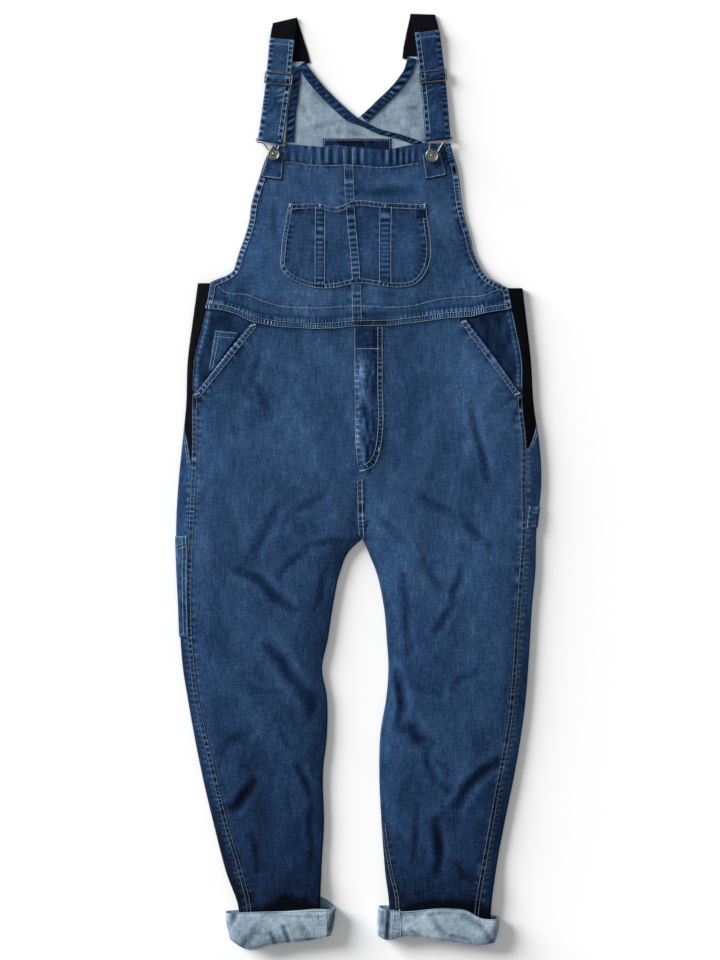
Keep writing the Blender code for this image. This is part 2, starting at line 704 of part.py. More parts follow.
# Straps: centre line from the top to the bottom fold, and the base they lie on
STRAP_WIDTH = 40.0
STRAP_THICK = 2.0
STRAPS = {
    "right": (((-121, 708), (-129, 626), (-140, 545.5)), 1.9),
    "left": (((111, 720), (119.6, 650), (128.5, 549)), 1.9),
}
# Height of the strap's middle along its upper layer, measured back from the bottom fold
STRAP_UPPER = (
    (163, 6.0), (148, 5.4), (128, 4.2), (115, 3.4), (108, 3.4), (102.6, 6.9), (97.4, 6.9),
    (92, 3.6), (84, 3.8), (64, 4.2), (34, 4.6), (9, 5.6), (0, 6.0),
)
STRAP_LOWER = ((0, 1.2), (30, 1.2), (60, 1.2), (94, 1.2))
HOOK_BAR_Z = 3.6
SLIDER_AT = 100.0


class StrapLine:
    """The strap's centre line, read by the distance up from its bottom fold."""

    def __init__(self, points):
        self.points = [Vector(point) for point in reversed(points)]
        self.lengths = [0.0]
        for start, end in zip(self.points, self.points[1:]):
            self.lengths.append(self.lengths[-1] + (end - start).length)
        self.x = Curve(list(zip(self.lengths, [point.x for point in self.points])))
        self.y = Curve(list(zip(self.lengths, [point.y for point in self.points])))

    def at(self, distance):
        over = max(distance - self.lengths[-1], 0.0) + min(distance, 0.0)
        place = Vector((self.x(distance), self.y(distance)))
        return place + self.run(distance) * over

    def run(self, distance):
        near = min(max(distance, 1.0), self.lengths[-1] - 1.0)
        step = Vector((self.x(near + 1) - self.x(near - 1), self.y(near + 1) - self.y(near - 1)))
        return step.normalized()


def band_rings(stations, width, thickness):
    """Rings of a band through stations of middle point and direction across."""
    rings = []
    for i, (middle, across) in enumerate(stations):
        before = stations[max(i - 1, 0)][0]
        after = stations[min(i + 1, len(stations) - 1)][0]
        run = (after - before).normalized()
        normal = run.cross(across).normalized()
        half, thick = across * width / 2, normal * thickness / 2
        ring = (middle - half - thick, middle + half - thick, middle + half + thick,
                middle - half + thick)
        rings.append([tuple(point) for point in ring])
    return rings


def strap(name, line, base):
    stations = []

    def add(distance, z, run_at):
        run = line.run(run_at)
        place = line.at(distance)
        stations.append((Vector((place.x, place.y, z + base)), Vector((run.y, -run.x, 0))))

    length = line.lengths[-1]
    for distance, z in STRAP_UPPER:
        add(min(distance, length), z, distance)
    radius = (STRAP_UPPER[-1][1] - STRAP_LOWER[0][1]) / 2
    for k in range(1, 6):
        angle = math.pi * (0.5 - k / 6)
        add(-radius * math.cos(angle), HOOK_BAR_Z + radius * math.sin(angle), 0)
    for distance, z in STRAP_LOWER:
        add(distance, z, distance)
    tube("strap_" + name, band_rings(stations, STRAP_WIDTH, STRAP_THICK), "denim")


def blocks(name, place, across, along, levels, filled, finish):
    """A solid of box cells in a frame of its own, closed where cells are missing."""
    columns, rows, layers = len(across) - 1, len(along) - 1, len(levels) - 1
    solid = {(i, j, k) for i in range(columns) for j in range(rows) for k in range(layers)
             if filled(i, j, k)}
    corners = {}
    faces = []

    def corner(i, j, k):
        key = (i, j, k)
        if key not in corners:
            corners[key] = len(corners)
        return corners[key]

    for i, j, k in sorted(solid):
        if (i + 1, j, k) not in solid:
            faces.append([(i + 1, j, k), (i + 1, j + 1, k), (i + 1, j + 1, k + 1), (i + 1, j, k + 1)])
        if (i - 1, j, k) not in solid:
            faces.append([(i, j, k), (i, j, k + 1), (i, j + 1, k + 1), (i, j + 1, k)])
        if (i, j + 1, k) not in solid:
            faces.append([(i, j + 1, k), (i, j + 1, k + 1), (i + 1, j + 1, k + 1), (i + 1, j + 1, k)])
        if (i, j - 1, k) not in solid:
            faces.append([(i, j, k), (i + 1, j, k), (i + 1, j, k + 1), (i, j, k + 1)])
        if (i, j, k + 1) not in solid:
            faces.append([(i, j, k + 1), (i + 1, j, k + 1), (i + 1, j + 1, k + 1), (i, j + 1, k + 1)])
        if (i, j, k - 1) not in solid:
            faces.append([(i, j, k), (i, j + 1, k), (i + 1, j + 1, k), (i + 1, j, k)])
    faces = [tuple(corner(*key) for key in face) for face in faces]
    points = [place(across[i], along[j], levels[k]) for i, j, k in corners]
    return add_piece(name, points, faces, finish)


SLIDER_WIDTH = 45.4
SLIDER_HEIGHT = 20.0
SLIDER_WIRE = 2.2
SLIDER_LEVELS = (3.3, 5.4, 7.6)


def slider(name, line, base):
    """A flat metal slider: an upper frame over the strap and a lower bar beneath it."""
    middle = line.at(SLIDER_AT)
    run = line.run(SLIDER_AT)

    def place(q, s, z):
        return middle.x + run.y * q + run.x * s, middle.y - run.x * q + run.y * s, z + base

    half_width, half_height = SLIDER_WIDTH / 2, SLIDER_HEIGHT / 2
    across = (-half_width, -half_width + SLIDER_WIRE, half_width - SLIDER_WIRE, half_width)
    along = (-half_height, -half_height + SLIDER_WIRE, -SLIDER_WIRE / 2, SLIDER_WIRE / 2,
             half_height - SLIDER_WIRE, half_height)

    def filled(i, j, k):
        if k == 0:
            return j == 2
        return i != 1 or j in (0, 4)

    blocks("slider_" + name, place, across, along, SLIDER_LEVELS, filled, "metal")


BUTTONS = {"right": ((-134, 523), 20.0), "left": ((119, 520.5), 22.0)}
SHANK_RADIUS = 3.4
HEAD_THICK = 3.0
HOOK_RADIUS = 1.1
# Heights over the button tab: the wire past the bib's edge, the wire round the shank, the head
HOOK_OVER_EDGE = 2.3
HOOK_OVER_TAB = 1.9
HEAD_OVER_TAB = 3.4


def tab_top(name):
    """Height of the button tab at its button."""
    return top(*BUTTONS[name][0]) + TAB_LAY_ON + TRIM


def hook(name, line, base):
    """A closed wire: a bar in the strap's bottom fold, drawn in to a loop round the button."""
    start = line.at(0.0)
    run = line.run(0.0)
    across = Vector((run.y, -run.x))
    button = Vector(BUTTONS[name][0])
    reach = (button - start).length
    along = (button - start).normalized()
    bar_z = HOOK_BAR_Z + base
    edge_z = tab_top(name) + HOOK_OVER_EDGE
    catch_z = tab_top(name) + HOOK_OVER_TAB
    half = (
        (20.6, 0.0, bar_z), (22.7, 1.2, bar_z + 0.6), (22.7, 4.6, edge_z - 0.4),
        (20.8, 6.2, edge_z), (13.0, 6.8, edge_z), (10.8, 9.4, edge_z + 0.2),
        (6.0, reach - 3.0, catch_z), (5.8, reach + 1.5, catch_z),
        (3.6, reach + 4.8, catch_z), (0.0, reach + 5.9, catch_z),
    )
    path = [(q, s, z) for q, s, z in half] + [(-q, s, z) for q, s, z in reversed(half[:-1])]
    path = [Vector((*(start + across * q + along * s), z)) for q, s, z in path]
    rings = []
    for i, point in enumerate(path):
        tangent = (path[(i + 1) % len(path)] - path[i - 1]).normalized()
        side = tangent.cross(Vector((0, 0, 1))).normalized()
        other = side.cross(tangent)
        ring = []
        for k in range(6):
            angle = math.tau * k / 6
            ring.append(tuple(point + (side * math.cos(angle) + other * math.sin(angle)) * HOOK_RADIUS))
        rings.append(ring)
    tube("hook_" + name, rings, "metal", closed=True)


def turned(name, centre, profile, finish, sides=14):
    """A turned solid from a profile of radius and height, capped at both ends."""
    rings = []
    for radius, z in profile:
        ring = [(centre[0] + radius * math.cos(math.tau * k / sides),
                 centre[1] + radius * math.sin(math.tau * k / sides), z) for k in range(sides)]
        rings.append(ring)
    tube(name, rings, finish)


def button(name):
    centre, diameter = BUTTONS[name]
    radius = diameter / 2
    under = tab_top(name) + HEAD_OVER_TAB
    over = under + HEAD_THICK
    profile = (
        (SHANK_RADIUS, tab_top(name) + SEAM_GAP), (SHANK_RADIUS, under), (radius - 0.8, under),
        (radius, under + 0.9), (radius - 0.6, over - 0.4), (radius - 2.0, over),
        (radius - 3.2, over - 0.9), (1.6, over - 0.7),
    )
    turned("button_" + name, centre, profile, "metal")


ELASTIC_WIDTH = 40.0
# Elastic from under the strap's top, over the shoulder fold and back to the yoke's end:
# x, y, height of its middle and tilt of its width from the X axis in degrees
ELASTICS = {
    "right": ((-122, 697, 5.2, -5), (-120.6, 709, 5.4, -5), (-118.5, 724, 4.6, 4),
              (-117, 734, 3.4, 11), (-116.6, 737.4, 2.7, 13), (-116.4, 738.3, 2.0, 13),
              (-116.3, 737.4, 1.2, 13), (-115, 732, 0.8, 14), (-106, 703, 0.8, 17),
              (-98.5, 680, 0.8, 18), (-94.8, 665, 0.8, 18)),
    "left": ((110, 709, 5.2, -7), (111.3, 720, 5.4, -7), (108, 734, 4.6, -4),
             (105, 743, 3.6, -2), (104.6, 747.4, 2.7, -2), (104.3, 748.0, 2.0, -2),
             (104.2, 747.4, 1.2, -2), (103, 740, 0.8, -3), (97.5, 715, 0.8, -6),
             (93, 692, 0.8, -8), (91.2, 674.5, 0.8, -9)),
}


def elastic(name):
    stations = []
    for x, y, z, tilt in ELASTICS[name]:
        angle = math.radians(tilt)
        stations.append((Vector((x, y, z)), Vector((math.cos(angle), math.sin(angle), 0))))
    tube("elastic_" + name, band_rings(stations, ELASTIC_WIDTH, TRIM), "elastic")


def straps_and_fastenings():
    for name, (points, base) in STRAPS.items():
        line = StrapLine(points)
        strap(name, line, base)
        slider(name, line, base)
        hook(name, line, base)
        button(name)
        elastic(name)


# Rolled cuffs: height of the roll, its wall, and tables of x and y for the rims
CUFF_HEIGHT = 24.0
CUFF_WALL = 5.0
CUFFS = {
    "right": {
        "left": (-214, -206), "right": (-33, -41),
        "upper": ((-214, -690), (-160, -688), (-80, -687), (-33, -685)),
        "rear": ((-214, -688), (-120, -680), (-57, -665), (-33, -683)),
        "lower": ((-206, -731), (-175, -748), (-137, -740), (-72, -732), (-41, -725)),
    },
    "left": {
        "left": (31, 31), "right": (229, 222),
        "upper": ((31, -680), (62, -687), (147, -682), (173, -685), (196, -698), (229, -700)),
        "rear": ((31, -679), (130, -681), (229, -698)),
        "lower": ((31, -726), (44, -732), (69, -727.6), (150, -735.6), (206, -740), (222, -735.6)),
    },
}
# Section of the rolled wall: depth in from the outer face, share down from the upper rim, trim
CUFF_SECTION = (
    (0.0, 0.07), (0.0, 0.33), (0.0, 0.64), (0.0, 0.93), (1.5, 1.0), (3.5, 1.0), (CUFF_WALL, 0.95),
    (CUFF_WALL, 0.05), (3.5, 0.0), (1.5, 0.0),
)


def cuff(name):
    """A rolled cuff: a flattened ring whose wall has rounded rims."""
    sizes = CUFFS[name]
    radius = CUFF_HEIGHT / 2
    stations = [("top", t) for t in np.linspace(0.0, 1.0, 9)]
    stations += [("right", t) for t in (0.2, 0.4, 0.6, 0.8)]
    stations += [("bottom", t) for t in np.linspace(1.0, 0.0, 7)]
    stations += [("left", t) for t in (0.2, 0.4, 0.6, 0.8)]
    rings = []
    for where, t in stations:
        ring = []
        for depth, down in CUFF_SECTION:
            left = lerp(sizes["left"][0], sizes["left"][1], down) + radius
            right = lerp(sizes["right"][0], sizes["right"][1], down) - radius
            if where in ("top", "bottom"):
                x = lerp(left, right, t)
                z = CUFF_HEIGHT - depth if where == "top" else depth
            elif where == "right":
                x = right + (radius - depth) * math.sin(math.pi * t)
                z = radius + (radius - depth) * math.cos(math.pi * t)
            else:
                x = left - (radius - depth) * math.sin(math.pi * t)
                z = radius - (radius - depth) * math.cos(math.pi * t)
            behind = clamp((CUFF_HEIGHT - z) / CUFF_HEIGHT)
            upper = lerp(straight(sizes["upper"], x), straight(sizes["rear"], x), behind)
            ring.append((x, lerp(upper, straight(sizes["lower"], x), down), z))
        rings.append(ring)
    tube("cuff_" + name, rings, "denim_reverse", closed=True)


def centre_on_origin():
    """Moves the whole garment so that its box stands centred on the origin."""
    pieces = list(bpy.context.scene.collection.objects)
    places = np.array([vertex.co for piece in pieces for vertex in piece.data.vertices])
    low, high = places.min(axis=0), places.max(axis=0)
    shift = Vector((-(low[0] + high[0]) / 2, -(low[1] + high[1]) / 2, -low[2]))
    for piece in pieces:
        piece.data.transform(Matrix.Translation(shift))


def main():
    for old in list(bpy.data.objects):
        bpy.data.objects.remove(old, do_unlink=True)
    for side in SIDES:
        front_leg(side)
        back_leg(side)
        gore(side)
        hip_facing(side)
        bib(side)
        cuff(side.name)
    fly()
    bib_pocket()
    small_pieces()
    side_pieces()
    back_and_yokes()
    straps_and_fastenings()
    centre_on_origin()


main()
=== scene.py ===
# The looks of a pair of denim bib overalls laid flat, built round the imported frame.
# Sizes are in millimetres and are turned into the frame's metres when a mesh is made.

import math

import bpy
import bmesh
import numpy as np
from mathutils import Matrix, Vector


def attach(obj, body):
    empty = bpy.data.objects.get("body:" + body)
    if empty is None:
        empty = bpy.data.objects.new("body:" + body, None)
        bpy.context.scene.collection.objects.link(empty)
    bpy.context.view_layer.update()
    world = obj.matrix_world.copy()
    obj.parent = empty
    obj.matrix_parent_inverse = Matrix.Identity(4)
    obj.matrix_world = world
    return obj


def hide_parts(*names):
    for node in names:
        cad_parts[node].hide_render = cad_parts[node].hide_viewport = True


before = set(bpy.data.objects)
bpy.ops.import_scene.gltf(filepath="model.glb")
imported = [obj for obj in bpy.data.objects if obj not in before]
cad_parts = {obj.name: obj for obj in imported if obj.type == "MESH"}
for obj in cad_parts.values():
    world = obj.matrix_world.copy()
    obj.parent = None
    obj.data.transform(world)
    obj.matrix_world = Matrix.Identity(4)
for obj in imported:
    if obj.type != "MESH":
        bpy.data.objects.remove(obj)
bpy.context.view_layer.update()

MM = 0.001
SIGN = {"right": -1, "left": 1}
# Where the pattern's own origin lies in the frame
SHIFT = (-0.631, -1.026)

DENIM = 1.3
EDGE_RADIUS = 5.0
QUARTER = math.pi * EDGE_RADIUS / 2
RISE = 60.0
CROTCH_Y = -92.0
POCKET_END_Y = 138.0
HEM_Y = -719.0
GAP = 0.15
SEAM_STEP = 8.0
SEAM_REACH = 20.0
NOISE_CELLS = 64
VALLEY_SHADE = 0.052
RIDGE_SHADE = 0.044

# Outer fold and side seam of each side: height along the garment, x of the fold, x of the seam
OUTER = {
    "right": (
        (317, -256, -236), (258, -264, -248), (196, -272, -263), (120, -275, -265),
        (60, -281, -265), (0, -287, -267), (-84, -291, -271), (-145, -289, -273.5),
        (-196, -286.5, -274), (-254, -284, -272.5), (-300, -280, -268.5), (-344, -273, -263),
        (-401, -263, -251), (-467, -250, -235), (-548, -231, -215.5), (-622, -212, -193),
        (-690, -190, -178), (-738, -196, -184),
    ),
    "left": (
        (317, 263, 239), (258, 270, 251), (196, 277, 263), (120, 282, 264),
        (60, 291, 270), (0, 294, 269.5), (-84, 286, 270), (-145, 284.5, 266),
        (-196, 279.5, 262.5), (-254, 276, 258.5), (-300, 273, 255.5), (-344, 269.5, 252),
        (-401, 262.5, 245), (-467, 251.5, 233), (-548, 235, 218), (-622, 221.5, 205),
        (-690, 213, 194.5), (-738, 212, 194),
    ),
}
INNER = {
    "right": (
        (-92, 7.6), (-110, -12), (-145, -28), (-196, -39), (-254, -48), (-300, -57),
        (-344, -49.5), (-401, -49), (-467, -55.5), (-548, -54), (-622, -58), (-690, -59), (-738, -51),
    ),
    "left": (
        (-92, 8.4), (-110, 15.5), (-145, 29.5), (-196, 41), (-254, 46.5), (-300, 49),
        (-344, 46), (-401, 36.5), (-467, 34.5), (-548, 38), (-622, 43.5), (-690, 50), (-738, 42),
    ),
}
CENTRE = ((540, -16), (440, -12), (330, -3), (247, -1), (100, 1), (0, 5), (-60, 6), (-92, 8))
CROWN = (
    (317, 5.5, 1, 0), (258, 6.5, 1, 0), (140, 8.5, 1, 0), (40, 9.5, 1, 0), (-30, 9.5, 0.75, 0),
    (-70, 9, 0.25, 0), (-92, 9, 0, 0), (-254, 10, 0, 0), (-450, 9, 0, 0), (-598, 8.5, 0, 0),
    (-625, 7, 0, 1.6), (-656, 4, 0, 5.4), (-690, 1.5, 0, 5.4), (-738, 2, 0, 5.4),
)
WAIST = (
    (-243, 275), (-217, 273), (-192, 265), (-170, 254), (-129, 246), (-71, 242.5), (-36, 243.5),
    (-9, 246.5), (4, 247), (55, 248), (95, 253), (146, 260), (181, 262), (208, 269), (248, 275),
)
SLANT = {"right": ((-170, 254), (-262, POCKET_END_Y)), "left": ((173, 260), (262, POCKET_END_Y))}
GORE_BACK = {
    "right": ((317, -25), (138, -25), (120, -18), (98, -4), (92, 0), (66, 11), (29, 20.6)),
    "left": ((317, -20), (138, -20), (120, -12), (100, 0), (75, 10), (53, 20.8)),
}
GORE_TIP = {"right": 29.0, "left": 53.0}
GORE_TOP = {"right": 317.0, "left": 309.0}
BIB_SIDE = {
    "right": (
        (539, -134), (524, -143.6), (506, -151.6), (488, -157), (466, -164.4), (442, -170.8),
        (418, -174), (394, -181), (370, -190), (351, -195.6), (338, -200.4), (332, -207.6),
        (325, -222), (317, -236), (306, -238), (275, -244.4),
    ),
    "left": (
        (541, 148.4), (526, 152), (504, 158.8), (488, 161.8), (466, 164.4), (442, 167.6),
        (418, 173.2), (394, 180.4), (370, 186), (351, 194), (335, 202), (325, 210.8),
        (316, 227.6), (309, 240.4), (296, 243.2), (275, 247.4),
    ),
}
BIB_TOP = (
    (-134, 539), (-103.6, 539), (-56, 535), (-35, 539), (-19, 536), (45, 530), (82, 538),
    (108.6, 541), (148.4, 541),
)
BIB_CENTRE_Z = ((247, 17), (317, 15.5), (400, 11), (480, 8.5), (541, 8.5))
BIB_SIDE_Z = ((317, 12.9), (345, 5), (400, 3.6), (480, 4.5), (541, 6.5))
BIB_BLEND = (300.0, 350.0)

# Top of the hip facings and back panels, and how far the facings lie below the front
FACING_TOP = 275.0
FACING_DROP = 2.0

# Tone of the denim by height along the garment, with what each side adds to it
TONE_ALONG = (
    (-740, 0.30), (-600, 0.315), (-450, 0.345), (-300, 0.375), (-100, 0.415), (60, 0.45),
    (240, 0.455), (300, 0.46), (400, 0.455), (540, 0.44),
)
TONE_LEFT = (
    (-620, -0.03), (-540, -0.025), (-420, 0.03), (-300, 0.055), (-60, 0.045), (40, 0.0), (360, -0.015),
)
TONE_RIGHT = ((-600, -0.035), (-500, -0.015), (-420, 0.01), (-330, 0.022), (-230, 0.0))

# Creases: x and y of both ends, half width and depth
CREASES = (
    (-130, -41, -172, -142, 13, 1.8), (-184, -142, -98, -206, 12, 3.6),
    (-50, -25, -114, -62, 10, 1.2), (-28, -94, -82, -110, 10, 1.7), (-82, -110, -124, -153, 10, 1.5),
    (-50, -142, -66, -206, 9, 1.3), (-136, -262, -84, -336, 15, 4.0), (-88, -332, -66, -372, 17, 3.4),
    (-162, -339, -120, -339, 9, 0.8), (-220, -430, -162, -398, 11, 1.3),
    (-210, -531, -162, -483, 12, 3.6), (-98, -457, -72, -505, 9, 2.2),
    (-72, -505, -74, -627, 9, 1.8), (-168, -563, -156, -622, 9, 1.8), (-120, -400, -100, -430, 9, 1.4),
    (104, -30, 164, -57, 11, 2.0), (164, -57, 212, -105, 11, 1.8), (30, -51, 78, -99, 10, 1.5),
    (104, -131, 142, -174, 10, 1.5), (168, -137, 152, -201, 10, 2.2), (152, -201, 126, -238, 10, 2.0),
    (78, -153, 84, -275, 10, 1.7), (60, -306, 72, -388, 11, 4.2), (72, -388, 116, -420, 16, 3.8),
    (88, -329, 126, -345, 9, 1.0), (196, -302, 152, -329, 10, 1.1), (110, -435, 126, -483, 9, 2.2),
    (126, -483, 158, -499, 9, 1.8), (110, -435, 152, -467, 9, 1.6), (222, -446, 158, -515, 12, 3.8),
    (126, -542, 132, -627, 11, 3.4), (94, -521, 90, -611, 9, 1.6), (148, -606, 184, -638, 9, 1.9),
    (-152, 210, -164, 159, 12, 1.3), (-164, 159, -136, 102, 12, 1.3), (-204, 154, -153, 127, 10, 1.0),
    (183, 122, 212, 2, 9, 2.2),
    (-258, 134, -232, 114, 5, 1.2), (-257, 140, -226, 137, 4, 0.9), (-262, 126, -246, 94, 5, 1.1),
    (258, 136, 230, 122, 5, 1.2), (256, 141, 224, 146, 4, 0.9), (262, 128, 250, 92, 5, 1.2),
    (-12, -60, 2, -78, 4, 1.6), (20, -62, 12, -80, 4, 1.4), (-168, 246, -150, 226, 4, 0.9),
    (-172, 240, -166, 214, 4, 0.9),
    (0, 463, 92, 462, 12, 2.1), (-20, 470, 0, 456, 8, 0.8), (-128, 434, -132, 390, 9, 1.2),
    (-92, 294, -60, 266, 9, 0.8), (-164, 286, -116, 270, 9, 0.8), (12, 298, 100, 286, 9, 0.7),
    (12, 266, 132, 282, 9, 0.6),
)

# Creases pressed into the underside, which the photo hides
BACK_CREASES = (
    (-60, 150, -150, 110, 12, 1.6), (-70, 60, -190, 20, 11, 2.0), (70, 140, 180, 120, 12, 1.5),
    (60, 40, 150, -10, 12, 1.8), (-120, -60, -210, -120, 11, 1.9), (-60, -170, -170, -190, 12, 2.2),
    (-80, -330, -180, -350, 12, 2.6), (-90, -360, -200, -390, 11, 2.0), (-100, -480, -190, -520, 10, 1.8),
    (90, -90, 200, -140, 11, 1.9), (70, -210, 180, -230, 12, 1.8), (70, -340, 190, -330, 12, 2.6),
    (80, -372, 170, -388, 10, 2.0), (90, -500, 200, -470, 11, 1.8), (110, -590, 170, -620, 9, 1.6),
)

class Curve:
    """A smooth curve through a short table of keys and values, level beyond its ends."""

    def __init__(self, points):
        points = sorted(points)
        self.keys = np.array([point[0] for point in points], float)
        self.values = np.array([point[1] for point in points], float)
        self.slopes = np.gradient(self.values, self.keys)

    def __call__(self, at):
        at = np.clip(np.asarray(at, float), self.keys[0], self.keys[-1])
        i = np.clip(np.searchsorted(self.keys, at) - 1, 0, len(self.keys) - 2)
        span = self.keys[i + 1] - self.keys[i]
        t = (at - self.keys[i]) / span
        start = (2 * t**3 - 3 * t**2 + 1) * self.values[i]
        start = start + (t**3 - 2 * t**2 + t) * span * self.slopes[i]
        end = (3 * t**2 - 2 * t**3) * self.values[i + 1]
        return start + end + (t**3 - t**2) * span * self.slopes[i + 1]


def lerp(a, b, t):
    return a + (b - a) * t


def clamp(value):
    return np.clip(value, 0.0, 1.0)


def ease(t):
    t = clamp(t)
    return t * t * (3 - 2 * t)


def rise(distance):
    return 1 - (1 - clamp(distance / RISE)) ** 2


def hump(distance, width):
    return np.exp(-(distance / width) ** 2)


def fading(distance, width):
    return np.exp(-distance / width)


def ripple(run, pitch, wander=0.0):
    return np.cos(run * math.tau / pitch + wander)


def straight(points, at):
    points = sorted(points)
    return np.interp(at, [point[0] for point in points], [point[1] for point in points])


def shares(count):
    """Even shares from 0 to 1."""
    return np.linspace(0.0, 1.0, count)


def column(rows, index):
    """Pairs of each row's first value and another of its values."""
    return [(row[0], row[index]) for row in rows]


def xyz(x, y, z):
    return np.stack([x, y, z], axis=-1)


fold_x = {side: Curve(column(OUTER[side], 1)) for side in SIGN}
seam_x = {side: Curve(column(OUTER[side], 2)) for side in SIGN}
inner_x = {side: Curve(INNER[side]) for side in SIGN}
centre_x = Curve(CENTRE)
crown_height = Curve(column(CROWN, 1))
bib_centre_z = Curve(BIB_CENTRE_Z)
bib_side_z = Curve(BIB_SIDE_Z)


def lift(y):
    return straight(column(CROWN, 3), y)


def centre_share(y):
    return straight(column(CROWN, 2), y)


def waist_y(x):
    return straight(WAIST, x)


def noise(x, y, scale, seed, stretch=1.0):
    """Smooth random field between -1 and 1, with the same values each run."""
    u = np.asarray(x, float) / scale + 1000.0
    v = np.asarray(y, float) / (scale * stretch) + 1000.0
    cells = np.random.RandomState(seed).rand(NOISE_CELLS, NOISE_CELLS) * 2 - 1
    i = np.floor(u).astype(int)
    j = np.floor(v).astype(int)
    s = ease(u - i)
    t = ease(v - j)
    i0, i1 = i % NOISE_CELLS, (i + 1) % NOISE_CELLS
    j0, j1 = j % NOISE_CELLS, (j + 1) % NOISE_CELLS
    return lerp(lerp(cells[i0, j0], cells[i1, j0], s), lerp(cells[i0, j1], cells[i1, j1], s), t)


def run_noise(run, scale, seed):
    """The random field along a line."""
    return noise(run, run * 0, scale, seed)


def beside(line, x, y):
    """Distance from a line of points and the run along it, for arrays of places."""
    best = np.full(np.shape(x), 1e9)
    along = np.zeros(np.shape(x))
    run = 0.0
    for (x0, y0), (x1, y1) in zip(line, line[1:]):
        dx, dy = x1 - x0, y1 - y0
        length = math.hypot(dx, dy)
        t = clamp(((x - x0) * dx + (y - y0) * dy) / length**2)
        distance = np.hypot(x - x0 - t * dx, y - y0 - t * dy)
        closer = distance < best
        best = np.where(closer, distance, best)
        along = np.where(closer, run + t * length, along)
        run += length
    return best, along


def curve_through(points):
    """Curves of x and y by the run through points, and the whole run."""
    points = [np.array(point, float) for point in points]
    runs = [0.0]
    for a, b in zip(points, points[1:]):
        runs.append(runs[-1] + float(np.hypot(*(b - a))))
    return [Curve(list(zip(runs, [point[axis] for point in points]))) for axis in (0, 1)], runs[-1]


def smooth_line(points, step=6.0):
    """Points every few millimetres on a smooth curve through the given ones."""
    (x_of, y_of), length = curve_through(points)
    at = np.linspace(0.0, length, max(int(length / step), 2) + 1)
    return list(zip(x_of(at).tolist(), y_of(at).tolist()))


def neighbours(line, i):
    """Places before and after a point of a line, and the distance between them."""
    x0, y0 = line[max(i - 1, 0)]
    x1, y1 = line[min(i + 1, len(line) - 1)]
    return x1 - x0, y1 - y0, math.hypot(x1 - x0, y1 - y0)


def beside_line(line, offset):
    """The same line moved to its left by an offset."""
    moved = []
    for i, (x, y) in enumerate(line):
        dx, dy, run = neighbours(line, i)
        moved.append((x - dy / run * offset, y + dx / run * offset))
    return moved


# The seams, as lines on the upper face
def side_line(side, top_y, low_y):
    ys = np.arange(top_y, low_y - 1, -SEAM_STEP)
    return list(zip(seam_x[side](ys).tolist(), ys.tolist()))


def centre_line(top_y, low_y):
    return [(float(centre_x(y)), y) for y in np.arange(top_y, low_y, -SEAM_STEP)]


def slant_line(side, count, drop=0.0):
    (x_top, y_top), (x_low, y_low) = SLANT[side]
    return list(zip(np.linspace(x_top, x_low, count), np.linspace(y_top - drop, y_low, count)))


def bib_edge(side, step=6.0):
    return smooth_line([(x, y) for y, x in BIB_SIDE[side]], step)


SIDE_SEAM = {side: side_line(side, POCKET_END_Y, HEM_Y) for side in SIGN}
WAIST_SEAM = [(x, float(waist_y(x))) for x in np.linspace(-243, 248, 70)]
BIB_CENTRE = centre_line(504, 246)
BIB_CENTRE_ROWS = centre_line(531, 246)
FRONT_CENTRE = centre_line(0, CROTCH_Y)
UPPER_LINE = smooth_line((
    (-226, 315), (-213, 303), (-176, 298), (-149, 287), (-123, 280), (-79, 277), (6, 280),
    (55, 278), (85, 280), (126, 290), (171, 295), (197, 296), (226, 307),
))
HEM_BAND = smooth_line(((-118, 511), (-51, 505), (-22, 506), (45, 502), (98, 509)))
FLY_OUTER = smooth_line(((39, 246), (39, 160), (39, 75), (34, 44), (24, 24), (11, 17.5)), 4.0)
FLY_INNER = smooth_line(((32, 246), (32, 160), (32, 78), (28, 51), (20, 33), (9, 25)), 4.0)
INSEAM = smooth_line(((41, -548), (46, -585), (53, -625), (62, -664), (64, -690)))

# Felled and turned seams: line, half width, raise, pucker height, pucker length, shade
FRONT_SEAMS = []
for name, sign in SIGN.items():
    FRONT_SEAMS.append((beside_line(SIDE_SEAM[name], sign * -4.0), 4.0, 0.6, 0.5, 9.0, 0.34))
    FRONT_SEAMS.append((beside_line(slant_line(name, 20), -sign * 5.0), 5.0, 0.6, 0.45, 7.0, 0.44))
FRONT_SEAMS += [
    (beside_line(FLY_OUTER, -3.5), 3.5, 0.6, 0.35, 7.0, 0.30),
    (FRONT_CENTRE, 5.0, 0.6, 0.4, 8.0, 0.30),
    (INSEAM, 3.0, 0.5, 0.3, 8.0, 0.28),
]
BIB_SEAMS = [
    (beside_line(WAIST_SEAM, 5.4), 3.7, 0.8, 0.45, 4.4, 0.64),
    (UPPER_LINE, 2.0, -0.3, 0.25, 9.0, 0.12),
    (BIB_CENTRE, 7.0, 0.6, 0.4, 9.0, 0.26),
    (HEM_BAND, 2.5, -0.3, 0.3, 10.0, 0.20),
]
for name, sign in SIGN.items():
    BIB_SEAMS.append((beside_line(bib_edge(name), sign * -5.0), 5.0, 0.6, 0.5, 8.0, 0.42))


